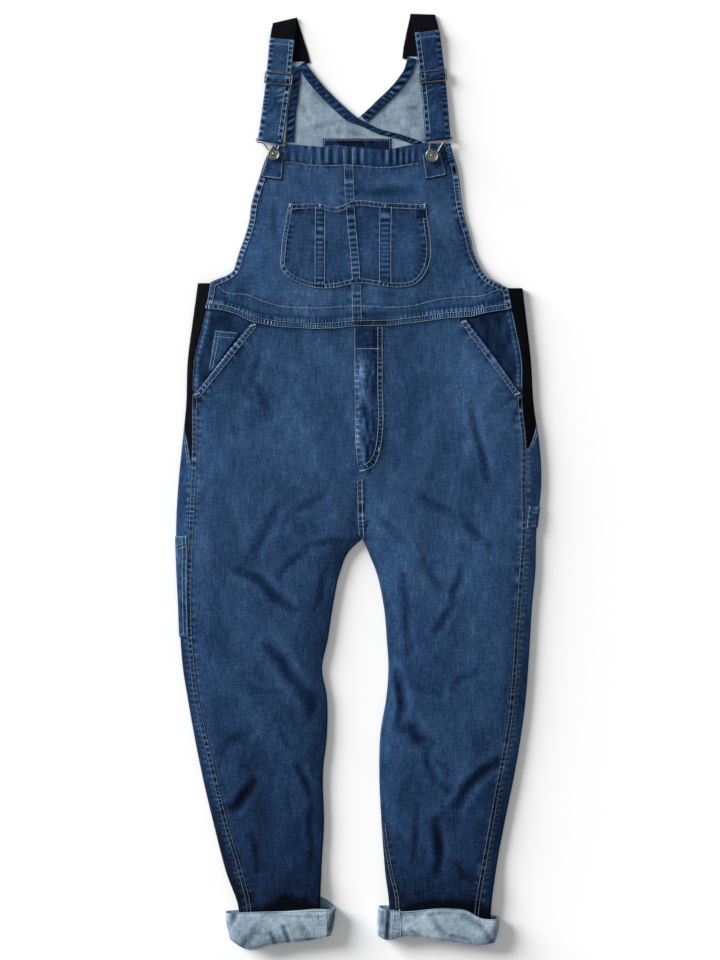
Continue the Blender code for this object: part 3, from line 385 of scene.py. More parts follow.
def relief(seams, x, y):
    """Height and shade that the seams add at arrays of places."""
    height = np.zeros(np.shape(x))
    shade = np.zeros(np.shape(x))
    for number, (line, half, raised, pucker, length, tone) in enumerate(seams):
        low = np.min(line, axis=0) - half - SEAM_REACH
        high = np.max(line, axis=0) + half + SEAM_REACH
        near = (x > low[0]) & (x < high[0]) & (y > low[1]) & (y < high[1])
        if not near.any():
            continue
        distance, along = beside(line, x[near], y[near])
        wander = run_noise(along, 30.0, 100 + number) * 1.1
        beat = np.cos((along / length + wander) * math.tau)
        strength = 0.6 + 0.4 * run_noise(along, 21.0, 200 + number)
        patchy = ease(0.5 + 0.9 * run_noise(along, 47.0, 300 + number))
        broad = np.cos((along / (length * 1.7) + wander * 1.4) * math.tau) * patchy
        inside = ease((half + 1.2 - distance) / 1.6)
        outside = hump(np.maximum(distance - half, 0.0), 7.0) * (1 - inside)
        groove = hump(distance - half, 0.9)
        height[near] += raised * inside + pucker * strength * beat * inside
        height[near] += 0.8 * pucker * broad * outside - 0.25 * groove
        shade[near] += tone * strength * beat * inside - 0.5 * tone * groove
        shade[near] += (0.42 * tone * broad - 0.15 * tone) * outside
    return height, shade


def crease(x, y, lines=CREASES):
    """Depth and shade of the creases at arrays of places."""
    total = np.zeros(np.shape(x))
    ridge = np.zeros(np.shape(x))
    for x0, y0, x1, y1, width, depth in lines:
        run_x, run_y = x1 - x0, y1 - y0
        length = math.hypot(run_x, run_y)
        t = clamp(((x - x0) * run_x + (y - y0) * run_y) / length**2)
        bend = noise(t * 3.0 + x0, t * 0 + y0, 1.0, 7) * width * 0.4
        off_x = x - x0 - t * run_x - bend * run_y / length
        off_y = y - y0 - t * run_y + bend * run_x / length
        taper = 0.35 + 0.65 * np.sin(math.pi * clamp(t * 0.8 + 0.1))
        square = (off_x**2 + off_y**2) / (0.86 * width) ** 2
        total = np.minimum(total, -depth * taper * np.exp(-square))
        ridge = np.maximum(ridge, 0.75 * depth * taper * square * np.exp(-square / 1.4))
    return total + ridge, total * VALLEY_SHADE + ridge * RIDGE_SHADE


def flow(x, y):
    """Soft uneven waves of cloth that was washed and laid down."""
    broad = noise(x, y, 74.0, 11, 1.5) * 0.8 + noise(x + 0.5 * y, y, 37.0, 12, 1.5) * 0.6
    fine = noise(x - 0.35 * y, y, 15.0, 13, 1.9) * 0.26 + noise(x + 0.6 * y, y, 8.5, 14, 2.0) * 0.08
    return broad + fine


def crown(side, x, y):
    sign = SIGN[side]
    from_fold = sign * (fold_x[side](y) - x) - EDGE_RADIUS
    above = y > CROTCH_Y
    from_inner = np.where(above, sign * (x - centre_x(y)),
                          sign * (x - inner_x[side](y)) - EDGE_RADIUS)
    near = np.where(above, from_fold, np.minimum(from_fold, from_inner))
    kept = 1 - (1 - centre_share(y)) * (1 - rise(from_inner))
    height = lift(y) + 2 * EDGE_RADIUS + crown_height(y) * rise(from_fold) * kept
    return height, ease(near / 16.0)


def body_top(x, y):
    right, right_mask = crown("right", x, y)
    left, left_mask = crown("left", x, y)
    middle = np.where(y > CROTCH_Y, centre_x(y), 0.5 * (inner_x["right"](y) + inner_x["left"](y)))
    on_right = x < middle
    mask = np.where(on_right, right_mask, left_mask)
    depth, shade = crease(x, y)
    return np.where(on_right, right, left) + (depth + flow(x, y)) * mask, shade


def bib_form(x, y):
    right = x - straight(BIB_SIDE["right"], y)
    left = straight(BIB_SIDE["left"], y) - x
    inward = np.where(x < centre_x(y), right, left)
    edge = bib_side_z(y)
    depth, shade = crease(x, y)
    waves = 0.6 * flow(x, y) + 0.35 * noise(x, y, 46.0, 31, 1.2)
    height = edge + (bib_centre_z(y) - edge) * rise(inward)
    return height + (depth + waves) * ease(inward / 12.0), shade


def top(x, y):
    """Height and crease shade of the upper face anywhere on the front."""
    x = np.asarray(x, float)
    y = np.asarray(y, float)
    low, low_shade = body_top(x, y)
    high, high_shade = bib_form(x, y)
    share = ease((y - BIB_BLEND[0]) / (BIB_BLEND[1] - BIB_BLEND[0]))
    return lerp(low, high, share), lerp(low_shade, high_shade, share)


def top_height(x, y):
    return top(x, y)[0]


def height_over(seams):
    """The height of the upper face with the seams in it, as a function of x and y."""
    def height(x, y):
        x = np.asarray(x, float)
        y = np.asarray(y, float)
        return top(x, y)[0] + relief(seams, x, y)[0]
    return height


front_height = height_over(FRONT_SEAMS)
bib_height = height_over(BIB_SEAMS)


def lifted(height, by):
    """A height function raised by a distance."""
    return lambda x, y: height(x, y) + by


def base_fade_and_shade(x, y):
    """Tone of the washed denim over the whole front, with painted shade in the mouths of the cuffs."""
    clouds = 0.04 * noise(x, y, 95.0, 21, 1.6) + 0.04 * noise(x, y, 38.0, 22, 1.6)
    fine = 0.032 * noise(x, y, 14.0, 23, 1.8) + 0.02 * noise(x, y, 6.0, 24, 2.5)
    # Painted shade in the mouths of the cuffs, in an uneven arch on each leg
    arch = np.where(x < 0, (x + 112.0) / 60.0, (x - 138.0) / 74.0)
    mouth_y = -659 - 19 * np.minimum(arch**2, 1.2) + 5 * run_noise(x, 17.0, 25)
    mouth_shade = 0.34 * ease((mouth_y - y) / 20.0) + 0.07 * ease((-596 - y) / 62.0)
    side_tone = lerp(straight(TONE_RIGHT, y), straight(TONE_LEFT, y), ease((x + 20.0) / 60.0))
    return straight(TONE_ALONG, y) + clouds + fine - mouth_shade + side_tone


# Mesh making
def add_mesh(name, points, faces, finish, fade_and_shade=None):
    """An object from arrays of points in millimetres, placed in the frame."""
    points = (np.asarray(points, float).reshape(-1, 3) + (SHIFT[0], SHIFT[1], 0.0)) * MM
    mesh = bpy.data.meshes.new(name)
    mesh.from_pydata(points.tolist(), [], faces)
    # This attribute holds the wash tone together with painted light and shade
    if fade_and_shade is not None:
        layer = mesh.attributes.new("fade_and_shade", "FLOAT", "POINT")
        layer.data.foreach_set("value", np.asarray(fade_and_shade, np.float32).ravel())
    mesh.materials.append(finish)
    mesh.shade_smooth()
    piece = bpy.data.objects.new(name, mesh)
    bpy.context.scene.collection.objects.link(piece)
    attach(piece, "root")
    return piece


def turn_outwards(piece):
    work = bmesh.new()
    work.from_mesh(piece.data)
    bmesh.ops.recalc_face_normals(work, faces=work.faces)
    work.to_mesh(piece.data)
    work.free()


def grid_faces(rows, columns, wrap=False):
    """Quads over a grid of points, as an array."""
    i, j = np.meshgrid(np.arange(rows - 1), np.arange(columns - (0 if wrap else 1)), indexing="ij")
    k = (j + 1) % columns
    corners = [i * columns + j, i * columns + k, (i + 1) * columns + k, (i + 1) * columns + j]
    return np.stack(corners, axis=-1).reshape(-1, 4)


def ring_faces(start, other, sides):
    """Quads between two rings of points."""
    return [(start + j, start + (j + 1) % sides, other + (j + 1) % sides, other + j) for j in range(sides)]


def normals_of(grid):
    normal = np.cross(np.gradient(grid, axis=0), np.gradient(grid, axis=1))
    length = np.linalg.norm(normal, axis=-1, keepdims=True)
    return normal / np.maximum(length, 1e-9)


def add_shell(name, outer, inner, finish, fade_and_shade):
    """A closed shell between two grids of points, with a rim along its border."""
    rows, columns = outer.shape[:2]
    count = rows * columns
    faces = grid_faces(rows, columns)
    rim = list(range(columns))
    rim += [i * columns + columns - 1 for i in range(1, rows)]
    rim += [(rows - 1) * columns + j for j in range(columns - 2, -1, -1)]
    rim += [i * columns for i in range(rows - 2, 0, -1)]
    every = faces.tolist() + (faces[:, ::-1] + count).tolist()
    every += [(a, count + a, count + b, b) for a, b in zip(rim, rim[1:] + rim[:1])]
    points = np.concatenate([outer.reshape(-1, 3), inner.reshape(-1, 3)])
    piece = add_mesh(name, points, every, finish, np.concatenate([np.ravel(fade_and_shade)] * 2))
    turn_outwards(piece)
    return piece


def cloth(name, grid, thickness, finish, fade_and_shade, turn=0, floor=None):
    """A thin shell under a grid of points on its outer face, which looks up or is turned."""
    normal = normals_of(grid)
    if turn:
        normal = normal * turn
    elif normal[..., 2].mean() < 0:
        normal = -normal
    inner = grid - normal * thickness
    if floor is not None:
        inner[..., 2] = np.maximum(inner[..., 2], floor)
    return add_shell(name, grid, inner, finish, fade_and_shade)


def dress(node):
    """Hide the frame's solid that a sheet stands for."""
    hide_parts(node)


# Materials
def linear(colour):
    """A colour of the screen, 0 to 255, as linear values."""
    values = []
    for value in colour:
        value = value / 255
        values.append(value / 12.92 if value <= 0.04045 else ((value + 0.055) / 1.055) ** 2.4)
    return (*values, 1.0)


def new_material(name, roughness, specular, metallic=0.0):
    made = bpy.data.materials.new(name)
    made.use_nodes = True
    shader = made.node_tree.nodes["Principled BSDF"]
    shader.inputs["Roughness"].default_value = roughness
    shader.inputs["Metallic"].default_value = metallic
    shader.inputs["Specular IOR Level"].default_value = specular
    return made, made.node_tree, shader


def add_node(tree, kind, **values):
    node = tree.nodes.new(kind)
    for key, value in values.items():
        if key in node.inputs:
            node.inputs[key].default_value = value
        else:
            setattr(node, key, value)
    return node


def place_node(tree, scale, turn=0.0):
    """Object coordinates turned about Z and scaled."""
    coordinates = add_node(tree, "ShaderNodeTexCoord")
    mapping = add_node(tree, "ShaderNodeMapping", Scale=scale, Rotation=(0.0, 0.0, turn))
    tree.links.new(coordinates.outputs["Object"], mapping.inputs["Vector"])
    return mapping.outputs["Vector"]


def noise_node(tree, scale, detail=2.0, turn=0.0, roughness=0.5):
    node = add_node(tree, "ShaderNodeTexNoise", Scale=1.0, Detail=detail, Roughness=roughness)
    tree.links.new(place_node(tree, scale, turn), node.inputs["Vector"])
    return node.outputs["Fac"]


def math_node(tree, operation, first, second):
    node = add_node(tree, "ShaderNodeMath", operation=operation)
    for socket, value in zip(node.inputs, (first, second)):
        if isinstance(value, (int, float)):
            socket.default_value = value
        else:
            tree.links.new(value, socket)
    return node.outputs[0]


def weighted(tree, base, field, weight):
    """base + (field - 0.5) * weight"""
    centred = math_node(tree, "SUBTRACT", field, 0.5)
    return math_node(tree, "ADD", base, math_node(tree, "MULTIPLY", centred, weight))


def paint(tree, shader, factor, stops):
    """Colour the shader by a factor, through stops of a place and a colour."""
    ramp = add_node(tree, "ShaderNodeValToRGB")
    elements = ramp.color_ramp.elements
    while len(elements) < len(stops):
        elements.new(0.5)
    for element, (place, colour) in zip(elements, stops):
        element.position = place
        element.color = linear(colour)
    tree.links.new(factor, ramp.inputs["Fac"])
    tree.links.new(ramp.outputs["Color"], shader.inputs["Base Color"])


def bump(tree, shader, height, distance, strength):
    node = add_node(tree, "ShaderNodeBump", Strength=strength, Distance=distance)
    tree.links.new(height, node.inputs["Height"])
    tree.links.new(node.outputs["Normal"], shader.inputs["Normal"])


def denim_material(name, stops, streak, speckle, mottle, turn=0.0):
    """Twill cloth whose tone follows the mesh's wash fade and painted shade, and fine uneven yarns."""
    made, tree, shader = new_material(name, 0.92, specular=0.04)
    fade_and_shade = add_node(tree, "ShaderNodeAttribute", attribute_name="fade_and_shade").outputs["Fac"]
    long_streaks = noise_node(tree, (560.0, 52.0, 560.0), 3.0, turn, 0.6)
    cross_streaks = noise_node(tree, (80.0, 560.0, 560.0), 2.0, turn, 0.6)
    grain = noise_node(tree, (470.0, 470.0, 470.0), 3.0, turn, 0.7)
    clouds = noise_node(tree, (34.0, 18.0, 34.0), 5.0, turn, 0.65)
    tone = weighted(tree, fade_and_shade, long_streaks, streak)
    tone = weighted(tree, tone, cross_streaks, streak * 0.7)
    tone = weighted(tree, tone, grain, speckle)
    tone = weighted(tree, tone, clouds, mottle)
    paint(tree, shader, tone, stops)
    twill = add_node(tree, "ShaderNodeTexWave", wave_type="BANDS", bands_direction="X",
                     Scale=1.0, Distortion=1.2, Detail=1.0)
    tree.links.new(place_node(tree, (330.0, 330.0, 330.0), turn + 1.05), twill.inputs["Vector"])
    rough = math_node(tree, "ADD", math_node(tree, "MULTIPLY", twill.outputs["Fac"], 0.5), grain)
    bump(tree, shader, rough, 0.00022, 0.9)
    return made


INDIGO = (
    (0.0, (6, 9, 18)), (0.15, (12, 22, 42)), (0.33, (25, 47, 77)), (0.5, (47, 74, 108)),
    (0.65, (76, 106, 142)), (0.8, (118, 147, 178)), (1.0, (188, 203, 218)),
)
REVERSE = (
    (0.0, (52, 64, 80)), (0.25, (92, 108, 124)), (0.5, (130, 148, 162)), (0.75, (164, 180, 190)),
    (1.0, (205, 214, 220)),
)
BLACK = ((0.0, (1, 2, 4)), (0.5, (7, 8, 13)), (1.0, (19, 21, 30)))
THREAD = ((0.0, (92, 108, 120)), (0.5, (134, 150, 160)), (1.0, (188, 199, 204)))
THREAD_DIM = ((0.0, (70, 80, 82)), (0.5, (104, 114, 112)), (1.0, (148, 156, 152)))
THREAD_PALE = ((0.0, (150, 162, 168)), (0.5, (186, 196, 198)), (1.0, (216, 222, 222)))

denim = denim_material("denim", INDIGO, 0.34, 0.44, 0.20)
denim_raw = denim_material("denim_raw", INDIGO, 0.26, 0.34, 0.16)
reverse = denim_material("denim_reverse", REVERSE, 0.36, 0.60, 0.24)


def elastic_material():
    made, tree, shader = new_material("elastic", 0.85, specular=0.06)
    fade_and_shade = add_node(tree, "ShaderNodeAttribute", attribute_name="fade_and_shade").outputs["Fac"]
    tone = weighted(tree, fade_and_shade, noise_node(tree, (900.0, 90.0, 900.0), 2.0), 0.5)
    paint(tree, shader, tone, BLACK)
    bump(tree, shader, noise_node(tree, (1200.0, 700.0, 1200.0), 2.0), 0.0002, 0.6)
    return made


def thread_material(name, stops):
    made, tree, shader = new_material(name, 0.75, specular=0.1)
    tone = noise_node(tree, (60.0, 60.0, 60.0), 3.0)
    paint(tree, shader, tone, stops)
    bump(tree, shader, noise_node(tree, (3000.0, 3000.0, 3000.0), 1.0), 0.0001, 0.5)
    return made


def metal_material(name, dark, light, roughness):
    made, tree, shader = new_material(name, roughness, metallic=0.9, specular=0.5)
    patina = noise_node(tree, (260.0, 260.0, 260.0), 5.0, roughness=0.65)
    paint(tree, shader, patina, ((0.3, dark), (0.65, light)))
    bump(tree, shader, noise_node(tree, (800.0, 800.0, 800.0), 3.0), 0.00008, 0.5)
    return made


elastic = elastic_material()
thread = thread_material("thread", THREAD)
thread_dim = thread_material("thread_dim", THREAD_DIM)
thread_pale = thread_material("thread_pale", THREAD_PALE)
pewter = metal_material("pewter", (58, 60, 58), (132, 134, 128), 0.40)
wire = metal_material("wire", (74, 75, 72), (150, 151, 146), 0.34)

# Stitching
STITCH = 2.9
STITCH_GAP = 0.9
STITCH_HALF_WIDTH = 0.52
STITCH_HEIGHT = 0.46
STITCH_SUNK = 0.2
all_stitches = []


def stitch_line(line, height, above=0.25, gap=STITCH_GAP):
    """Places of stitches along a line, with the height read from a function."""
    points = np.array(line, float)
    steps = np.hypot(*np.diff(points, axis=0).T)
    runs = np.concatenate([[0.0], np.cumsum(steps)])
    pitch = STITCH + gap
    count = int(runs[-1] / pitch)
    if count < 1:
        return
    starts = np.arange(count) * pitch
    places = []
    for share, arch in ((0.0, 0.1), (0.5, 1.0), (1.0, 0.1)):
        at = starts + STITCH * share
        x = np.interp(at, runs, points[:, 0])
        y = np.interp(at, runs, points[:, 1])
        bow = above + STITCH_HEIGHT * arch
        places.append(xyz(x, y, height(x, y) + bow - STITCH_SUNK))
    all_stitches.append(np.stack(places, axis=1))


def stitch_rows(line, offsets, height, above=0.25):
    """Rows of stitches beside a line."""
    for offset in offsets:
        stitch_line(beside_line(line, offset), height, above)


def make_stitches(name, finish):
    """All stitches so far as one piece of small bowed threads."""
    rows = np.concatenate(all_stitches)
    all_stitches.clear()
    count = len(rows)
    run = rows[:, 2] - rows[:, 0]
    run /= np.linalg.norm(run, axis=-1, keepdims=True)
    across = np.stack([-run[:, 1], run[:, 0], np.zeros(count)], axis=-1)
    across /= np.maximum(np.linalg.norm(across, axis=-1, keepdims=True), 1e-6)
    up = np.cross(run, across)
    rings = []
    for place, size in enumerate((0.55, 1.0, 0.55)):
        for side, high in ((-1, 0), (0, 1), (1, 0), (0, -1)):
            rings.append(rows[:, place] + across * side * STITCH_HALF_WIDTH * size
                         + up * high * STITCH_HEIGHT * 0.7 * size)
    pattern = ring_faces(0, 4, 4) + ring_faces(4, 8, 4) + [(3, 2, 1, 0), (8, 9, 10, 11)]
    faces = (np.arange(count)[:, None, None] * len(rings) + np.array(pattern)[None]).reshape(-1, 4)
    piece = add_mesh(name, np.stack(rings, axis=1), faces.tolist(), finish)


# Round the folds
# Distances from the inner edge of a panel, from the flat cloth to the edge
FOLD_STEPS = np.array([QUARTER, 6.2, 4.6, 3.0, 1.5, GAP])
# Rows and columns of the panels' grids, and the girth at which a back panel's finer columns start
SLANT_ROWS, FRONT_ROWS, FRONT_COLUMNS = 40, 286, 78
BACK_TOP_ROWS, BACK_ROWS, BACK_COLUMNS, WRAP_COLUMNS = 20, 250, 44, 24
WRAP_FROM = -30.0
GORE_ROWS, GORE_COLUMNS = 140, 46
FACING_ROWS, FACING_COLUMNS = 60, 44
BIB_COLUMNS = 132
FLY_ROWS, FLY_COLUMNS = 110, 30
POCKET_ROWS, POCKET_COLUMNS = 62, 110


def seam_girth(side, y):
    return QUARTER + np.abs(seam_x[side](y) - fold_x[side](y)) - EDGE_RADIUS


def round_outer(side, y, girth):
    """Points at a girth from the outer fold; plus is on the top face."""
    sign = SIGN[side]
    centre = fold_x[side](y) - sign * EDGE_RADIUS
    on_fold = np.clip(girth, -QUARTER, QUARTER)
    angle = on_fold / EDGE_RADIUS
    beyond = np.abs(girth) - np.abs(on_fold)
    x = centre + sign * EDGE_RADIUS * np.cos(angle) - sign * beyond
    z = lift(y) + EDGE_RADIUS + EDGE_RADIUS * np.sin(angle)
    return x, np.where(girth > QUARTER, front_height(x, y), z)


def x_at(side, y, girth):
    """x of one place at a girth from the outer fold."""
    return float(round_outer(side, np.array([y]), np.array([girth]))[0][0])


def pushed_out(side, x, z, girth, by):
    """Points round the outer fold moved away from it."""
    angle = np.clip(girth, -QUARTER, QUARTER) / EDGE_RADIUS
    return x + SIGN[side] * by * np.cos(angle), z + by * np.sin(angle)


def front_leg(side):
    sign = SIGN[side]
    spread = shares(FRONT_COLUMNS)[:-1]
    folded = len(FOLD_STEPS)
    (x_top, _), (x_low, y_low) = SLANT[side]
    xs, ys = [], []
    # Rows between the waist seam and the end of the slant pocket
    for share in shares(SLANT_ROWS)[:-1]:
        middle = centre_x(lerp(float(waist_y(-1)), y_low, share))
        start = lerp(x_top, x_low, share)
        end = float(middle) + sign * QUARTER
        x = np.concatenate([lerp(start, end, spread), middle + sign * FOLD_STEPS])
        held = np.maximum(x, x_top) if sign < 0 else np.minimum(x, x_top)
        xs.append(x)
        ys.append(lerp(waist_y(held) - 0.3, y_low, share))
    for level in np.linspace(POCKET_END_Y, HEM_Y, FRONT_ROWS):
        start = float(seam_x[side](level)) - sign * GAP
        if level > CROTCH_Y:
            end = float(centre_x(level)) + sign * QUARTER
            tail = float(centre_x(level)) + sign * FOLD_STEPS
        else:
            end = float(inner_x[side](level)) + sign * EDGE_RADIUS
            tail = end - sign * EDGE_RADIUS * np.cos(FOLD_STEPS / EDGE_RADIUS)
        xs.append(np.concatenate([lerp(start, end, spread), tail]))
        ys.append(np.full(len(spread) + folded, level))
    x, y = np.array(xs), np.array(ys)
    z = front_height(x, y)
    arc = lift(y[:, -folded:]) + EDGE_RADIUS * (1 + np.sin(FOLD_STEPS / EDGE_RADIUS))
    z[:, -folded:] = np.where(y[:, -folded:] <= CROTCH_Y, arc, z[:, -folded:])
    fade_and_shade = base_fade_and_shade(x, y) + top(x, y)[1] + relief(FRONT_SEAMS, x, y)[1]
    fade_and_shade -= 0.05 * fading(np.abs(x - x[:, -1:]), 9.0) * (y < CROTCH_Y)
    to_seam = sign * (seam_x[side](y) - x)
    by_seam = 0.08 * hump(to_seam - 11.0, 2.2) - 0.09 * hump(to_seam - 4.2, 2.2)
    fade_and_shade += np.where(y < POCKET_END_Y, by_seam, 0.0)
    # Painted shadow just below the waist seam
    under_waist = np.maximum(waist_y(x) - y, 0.0)
    fade_and_shade -= 0.16 * fading(under_waist, 2.6) + 0.05 * fading(under_waist, 9.0)
    worn = np.where(y > POCKET_END_Y, 0.45 * ease(1.2 - np.abs(y - 196) / 46.0), 0.08)
    fade_and_shade += hump(x - x[:, :1], 1.6) * worn
    piece = cloth("panel_front_" + side, xyz(x, y, z), DENIM, denim, fade_and_shade)
    dress("front_leg_" + side)


def back_edge(side, y):
    """Girth at which the back panel ends, for an array of heights."""
    edge = seam_girth(side, y) - GAP
    under_gore = np.minimum(straight(GORE_BACK[side], y), edge - 0.85) - 0.3
    return np.where(y >= GORE_TIP[side], under_gore, edge)


def back_leg(side):
    sign = SIGN[side]
    inner = FOLD_STEPS[::-1]
    y = np.concatenate([np.linspace(FACING_TOP, POCKET_END_Y, BACK_TOP_ROWS)[:-1],
                        np.linspace(POCKET_END_Y, HEM_Y, BACK_ROWS)])[:, None]
    edge = back_edge(side, y)
    wrapped = np.concatenate([np.linspace(WRAP_FROM, -9.0, 4) + 0 * y,
                              lerp(-QUARTER, edge, shares(WRAP_COLUMNS - 4))], axis=1)
    girth = np.where(edge < -QUARTER, lerp(WRAP_FROM, edge, shares(WRAP_COLUMNS)), wrapped)
    x_out, z_out = round_outer(side, y + 0 * girth, girth)
    above = y > CROTCH_Y
    fold_in = inner_x[side](y) + sign * EDGE_RADIUS * (1 - np.cos(inner / EDGE_RADIUS))
    x_in = np.where(above, centre_x(y) + sign * inner, fold_in)
    z_in = lift(y) + np.where(above, 0.0, EDGE_RADIUS * (1 - np.sin(inner / EDGE_RADIUS)))
    middle = lerp(x_in[:, -1:], x_out[:, :1], shares(BACK_COLUMNS)[1:-1])
    x = np.concatenate([x_in, middle, x_out], axis=1)
    z = np.concatenate([z_in, lift(y) + 0 * middle, z_out], axis=1)
    y_all = y + 0 * x
    to_outer = np.abs(fold_x[side](y) - sign * EDGE_RADIUS - x)
    off_folds = ease(np.minimum(np.abs(x - x_in[:, -1:]), to_outer) / 22.0)
    under = np.where(z < lift(y) + 0.01, off_folds, 0.0)
    # Creases and waves pressed into the underside; the creases carry painted shade in their valleys and
    # painted light on their banks, and the cloth is darker where the waves rise
    depth, tone = crease(x, y_all, BACK_CREASES)
    waves = 0.7 * noise(x, y, 58.0, 52, 1.5) + 0.4 * noise(x + y, y, 21.0, 53, 1.6)
    z = z + under * (np.maximum(-depth, 0.0) + np.maximum(waves, 0.0))
    tone = under * (tone - 0.03 * np.maximum(waves, 0.0)) - (0.07 if side == "right" else 0.0)
    distance = np.abs(edge - girth)
    beat = ripple(y, 9.0, 5.0 * run_noise(y, 40.0, 51))
    rope = hump(distance - 3.0, 3.5) * (0.16 * beat + 0.08)
    tone[:, -WRAP_COLUMNS:] += rope + 0.12 * hump(distance, 1.1)
    fade_and_shade = base_fade_and_shade(x, y_all) - 0.02 + tone
    piece = cloth("panel_back_" + side, xyz(x, y_all, z), DENIM, denim, fade_and_shade, turn=-sign)
    dress("back_leg_" + side)


def fold_height(side):
    """Height of the cloth for places on or near the outer fold."""
    def height(x, y):
        centre = fold_x[side](y) - SIGN[side] * EDGE_RADIUS
        beyond = clamp((x - centre) * SIGN[side] / EDGE_RADIUS)
        round_z = lift(y) + EDGE_RADIUS * (1 + np.sqrt(1 - beyond**2))
        return np.where(beyond > 0, round_z, front_height(x, y))
    return height


def gore(side):
    y = np.linspace(GORE_TOP[side], GORE_TIP[side], GORE_ROWS)[:, None]
    front = seam_girth(side, y) - GAP
    back = np.minimum(straight(GORE_BACK[side], y), front - 0.85)
    girth = lerp(back, front, shares(GORE_COLUMNS))
    y = y + 0 * girth
    rib = ripple(girth, 2.1)
    x, z = pushed_out(side, *round_outer(side, y, girth), girth, 0.18 * rib)
    # The ribs' crests are painted lighter and their grooves darker, as light and shade
    fade_and_shade = 0.42 + 0.25 * rib + 0.1 * noise(girth, y, 9.0, 61)
    grid = xyz(x, y, np.maximum(z, 0.02))
    piece = cloth("elastic_gore_" + side, grid, DENIM, elastic, fade_and_shade, turn=-SIGN[side])
    dress("gore_" + side)


def hip_facing(side):
    sign = SIGN[side]
    (x_top, y_top), (x_low, y_low) = SLANT[side]
    t = shares(FACING_COLUMNS)
    rows = []
    for share in shares(FACING_ROWS):
        y_side = lerp(FACING_TOP, y_low, share)
        start = seam_x[side](y_side) - sign * GAP
        end_x = lerp(x_top, x_low, share) - sign * 9.0
        x = lerp(start, end_x, t)
        y = lerp(y_side, lerp(y_top, y_low, share), t)
        bend = waist_y(x) - lerp(FACING_TOP, float(waist_y(end_x)), t)
        y = y + bend * (1 - share) ** 2 - 0.3 * (1 - share)
        rows.append(xyz(x, y, top_height(x, y) - FACING_DROP))
    grid = np.array(rows)
    x, y = grid[..., 0], grid[..., 1]
    to_side, along = beside(side_line(side, FACING_TOP, POCKET_END_Y), x, y)
    beat = ripple(along, 9.0, 4.0 * run_noise(along, 30.0, 71))
    rope = hump(to_side - 7.5, 3.5)
    grid[..., 2] += 0.45 * rope * (1 + 0.3 * beat) + 0.35 * noise(x, y, 17.0, 72)
    shadow = fading(beside(slant_line(side, 12), x, y)[0], 6.0)
    fade_and_shade = base_fade_and_shade(x, y) - 0.19 + 0.27 * rope * (0.9 + 0.4 * beat) - 0.10 * shadow
    fade_and_shade += 0.14 * hump(to_side - 1.5, 1.2) + 0.10 * noise(x, y, 9.0, 73, 2.2)
    piece = cloth("pocket_facing_" + side, grid, DENIM, denim, fade_and_shade)
    dress("hip_facing_" + side)


def bib(side):
    sign = SIGN[side]
    first, last = BIB_SIDE[side][0][0], BIB_SIDE[side][-1][0]
    top_centre = float(straight(BIB_TOP, -16))
    low_centre = float(waist_y(-1)) + 0.3
    t = shares(BIB_COLUMNS)
    rows = []
    for x_side, y_side in bib_edge(side, 2.6):
        share = (first - y_side) / (first - last)
        y_centre = lerp(top_centre, low_centre, share)
        x = lerp(x_side, float(centre_x(y_centre)) + sign * GAP, t)
        y = lerp(y_side, y_centre, t)
        top_bend = straight(BIB_TOP, x) - lerp(first, top_centre, t)
        low_bend = waist_y(x) + 0.3 - lerp(last, low_centre, t)
        y = y + top_bend * (1 - share) ** 3 + low_bend * share**3
        rows.append(xyz(x, y, bib_height(x, y)))
    grid = np.array(rows)
    x, y = grid[..., 0], grid[..., 1]
    hem = ease((y - straight(HEM_BAND, x)) / 2.0)
    flutes = ripple(x, 13.0, 4.0 * run_noise(x, 50.0, 41))
    uneven = noise(x, y, 26.0, 42)
    grid[..., 2] += 0.6 * hem
    grid[..., 2] += 0.45 * hem * flutes * ease(0.4 + uneven)
    fade_and_shade = base_fade_and_shade(x, y) + top(x, y)[1] + relief(BIB_SEAMS, x, y)[1]
    # The hem band is darker, with painted light on its flutes' crests and painted shade between them; the
    # cloth also darkens towards the top edge
    fade_and_shade += hem * (-0.07 + 0.21 * flutes * ease(0.5 + uneven))
    fade_and_shade -= 0.05 * ease((y - straight(BIB_TOP, x) + 3.0) / 3.0)
    over_waist = y - waist_y(x)
    worn = ease(0.6 + run_noise(x, 24.0, 43))
    fade_and_shade += 0.17 * worn * hump(over_waist - 13.5, 2.2) - 0.10 * hump(over_waist - 18.5, 3.0)
    placket = ease((x + 6.0) / 3.0) * ease((47.0 - x) / 3.0)
    fade_and_shade -= placket * (0.16 * ease((12.0 - over_waist) / 3.0) + 0.08 * ease((26.0 - over_waist) / 4.0))
    piece = cloth("panel_bib_" + side, grid, DENIM, denim, fade_and_shade)
    dress("bib_" + side)


def patch(name, x, y, height, raised, finish, fade_and_shade, thickness=1.0, roll=1.2):
    """A piece that lies on a face, its border rolled down like turned cloth."""
    dx = np.minimum(np.abs(x - x[:, :1]), np.abs(x - x[:, -1:]))
    dy = np.minimum(np.abs(y - y[:1]), np.abs(y - y[-1:]))
    near = clamp(np.minimum(dx, dy) / roll)
    fall = raised * (1 - np.sqrt(clamp(1 - (1 - near) ** 2))) * 0.7
    return cloth(name, xyz(x, y, height(x, y) + raised - fall), thickness, finish, fade_and_shade)


FLY_LEFT = Curve(((246, -6), (205, -6), (170, -6), (135, -5.5), (100, -5), (58, -4), (24, -1), (0, 3)))
FLY_RIGHT = Curve((
    (246, 39), (160, 39), (100, 39), (75, 39), (58, 37.5), (44, 34), (24, 24), (11, 17.5), (0, 13),
))


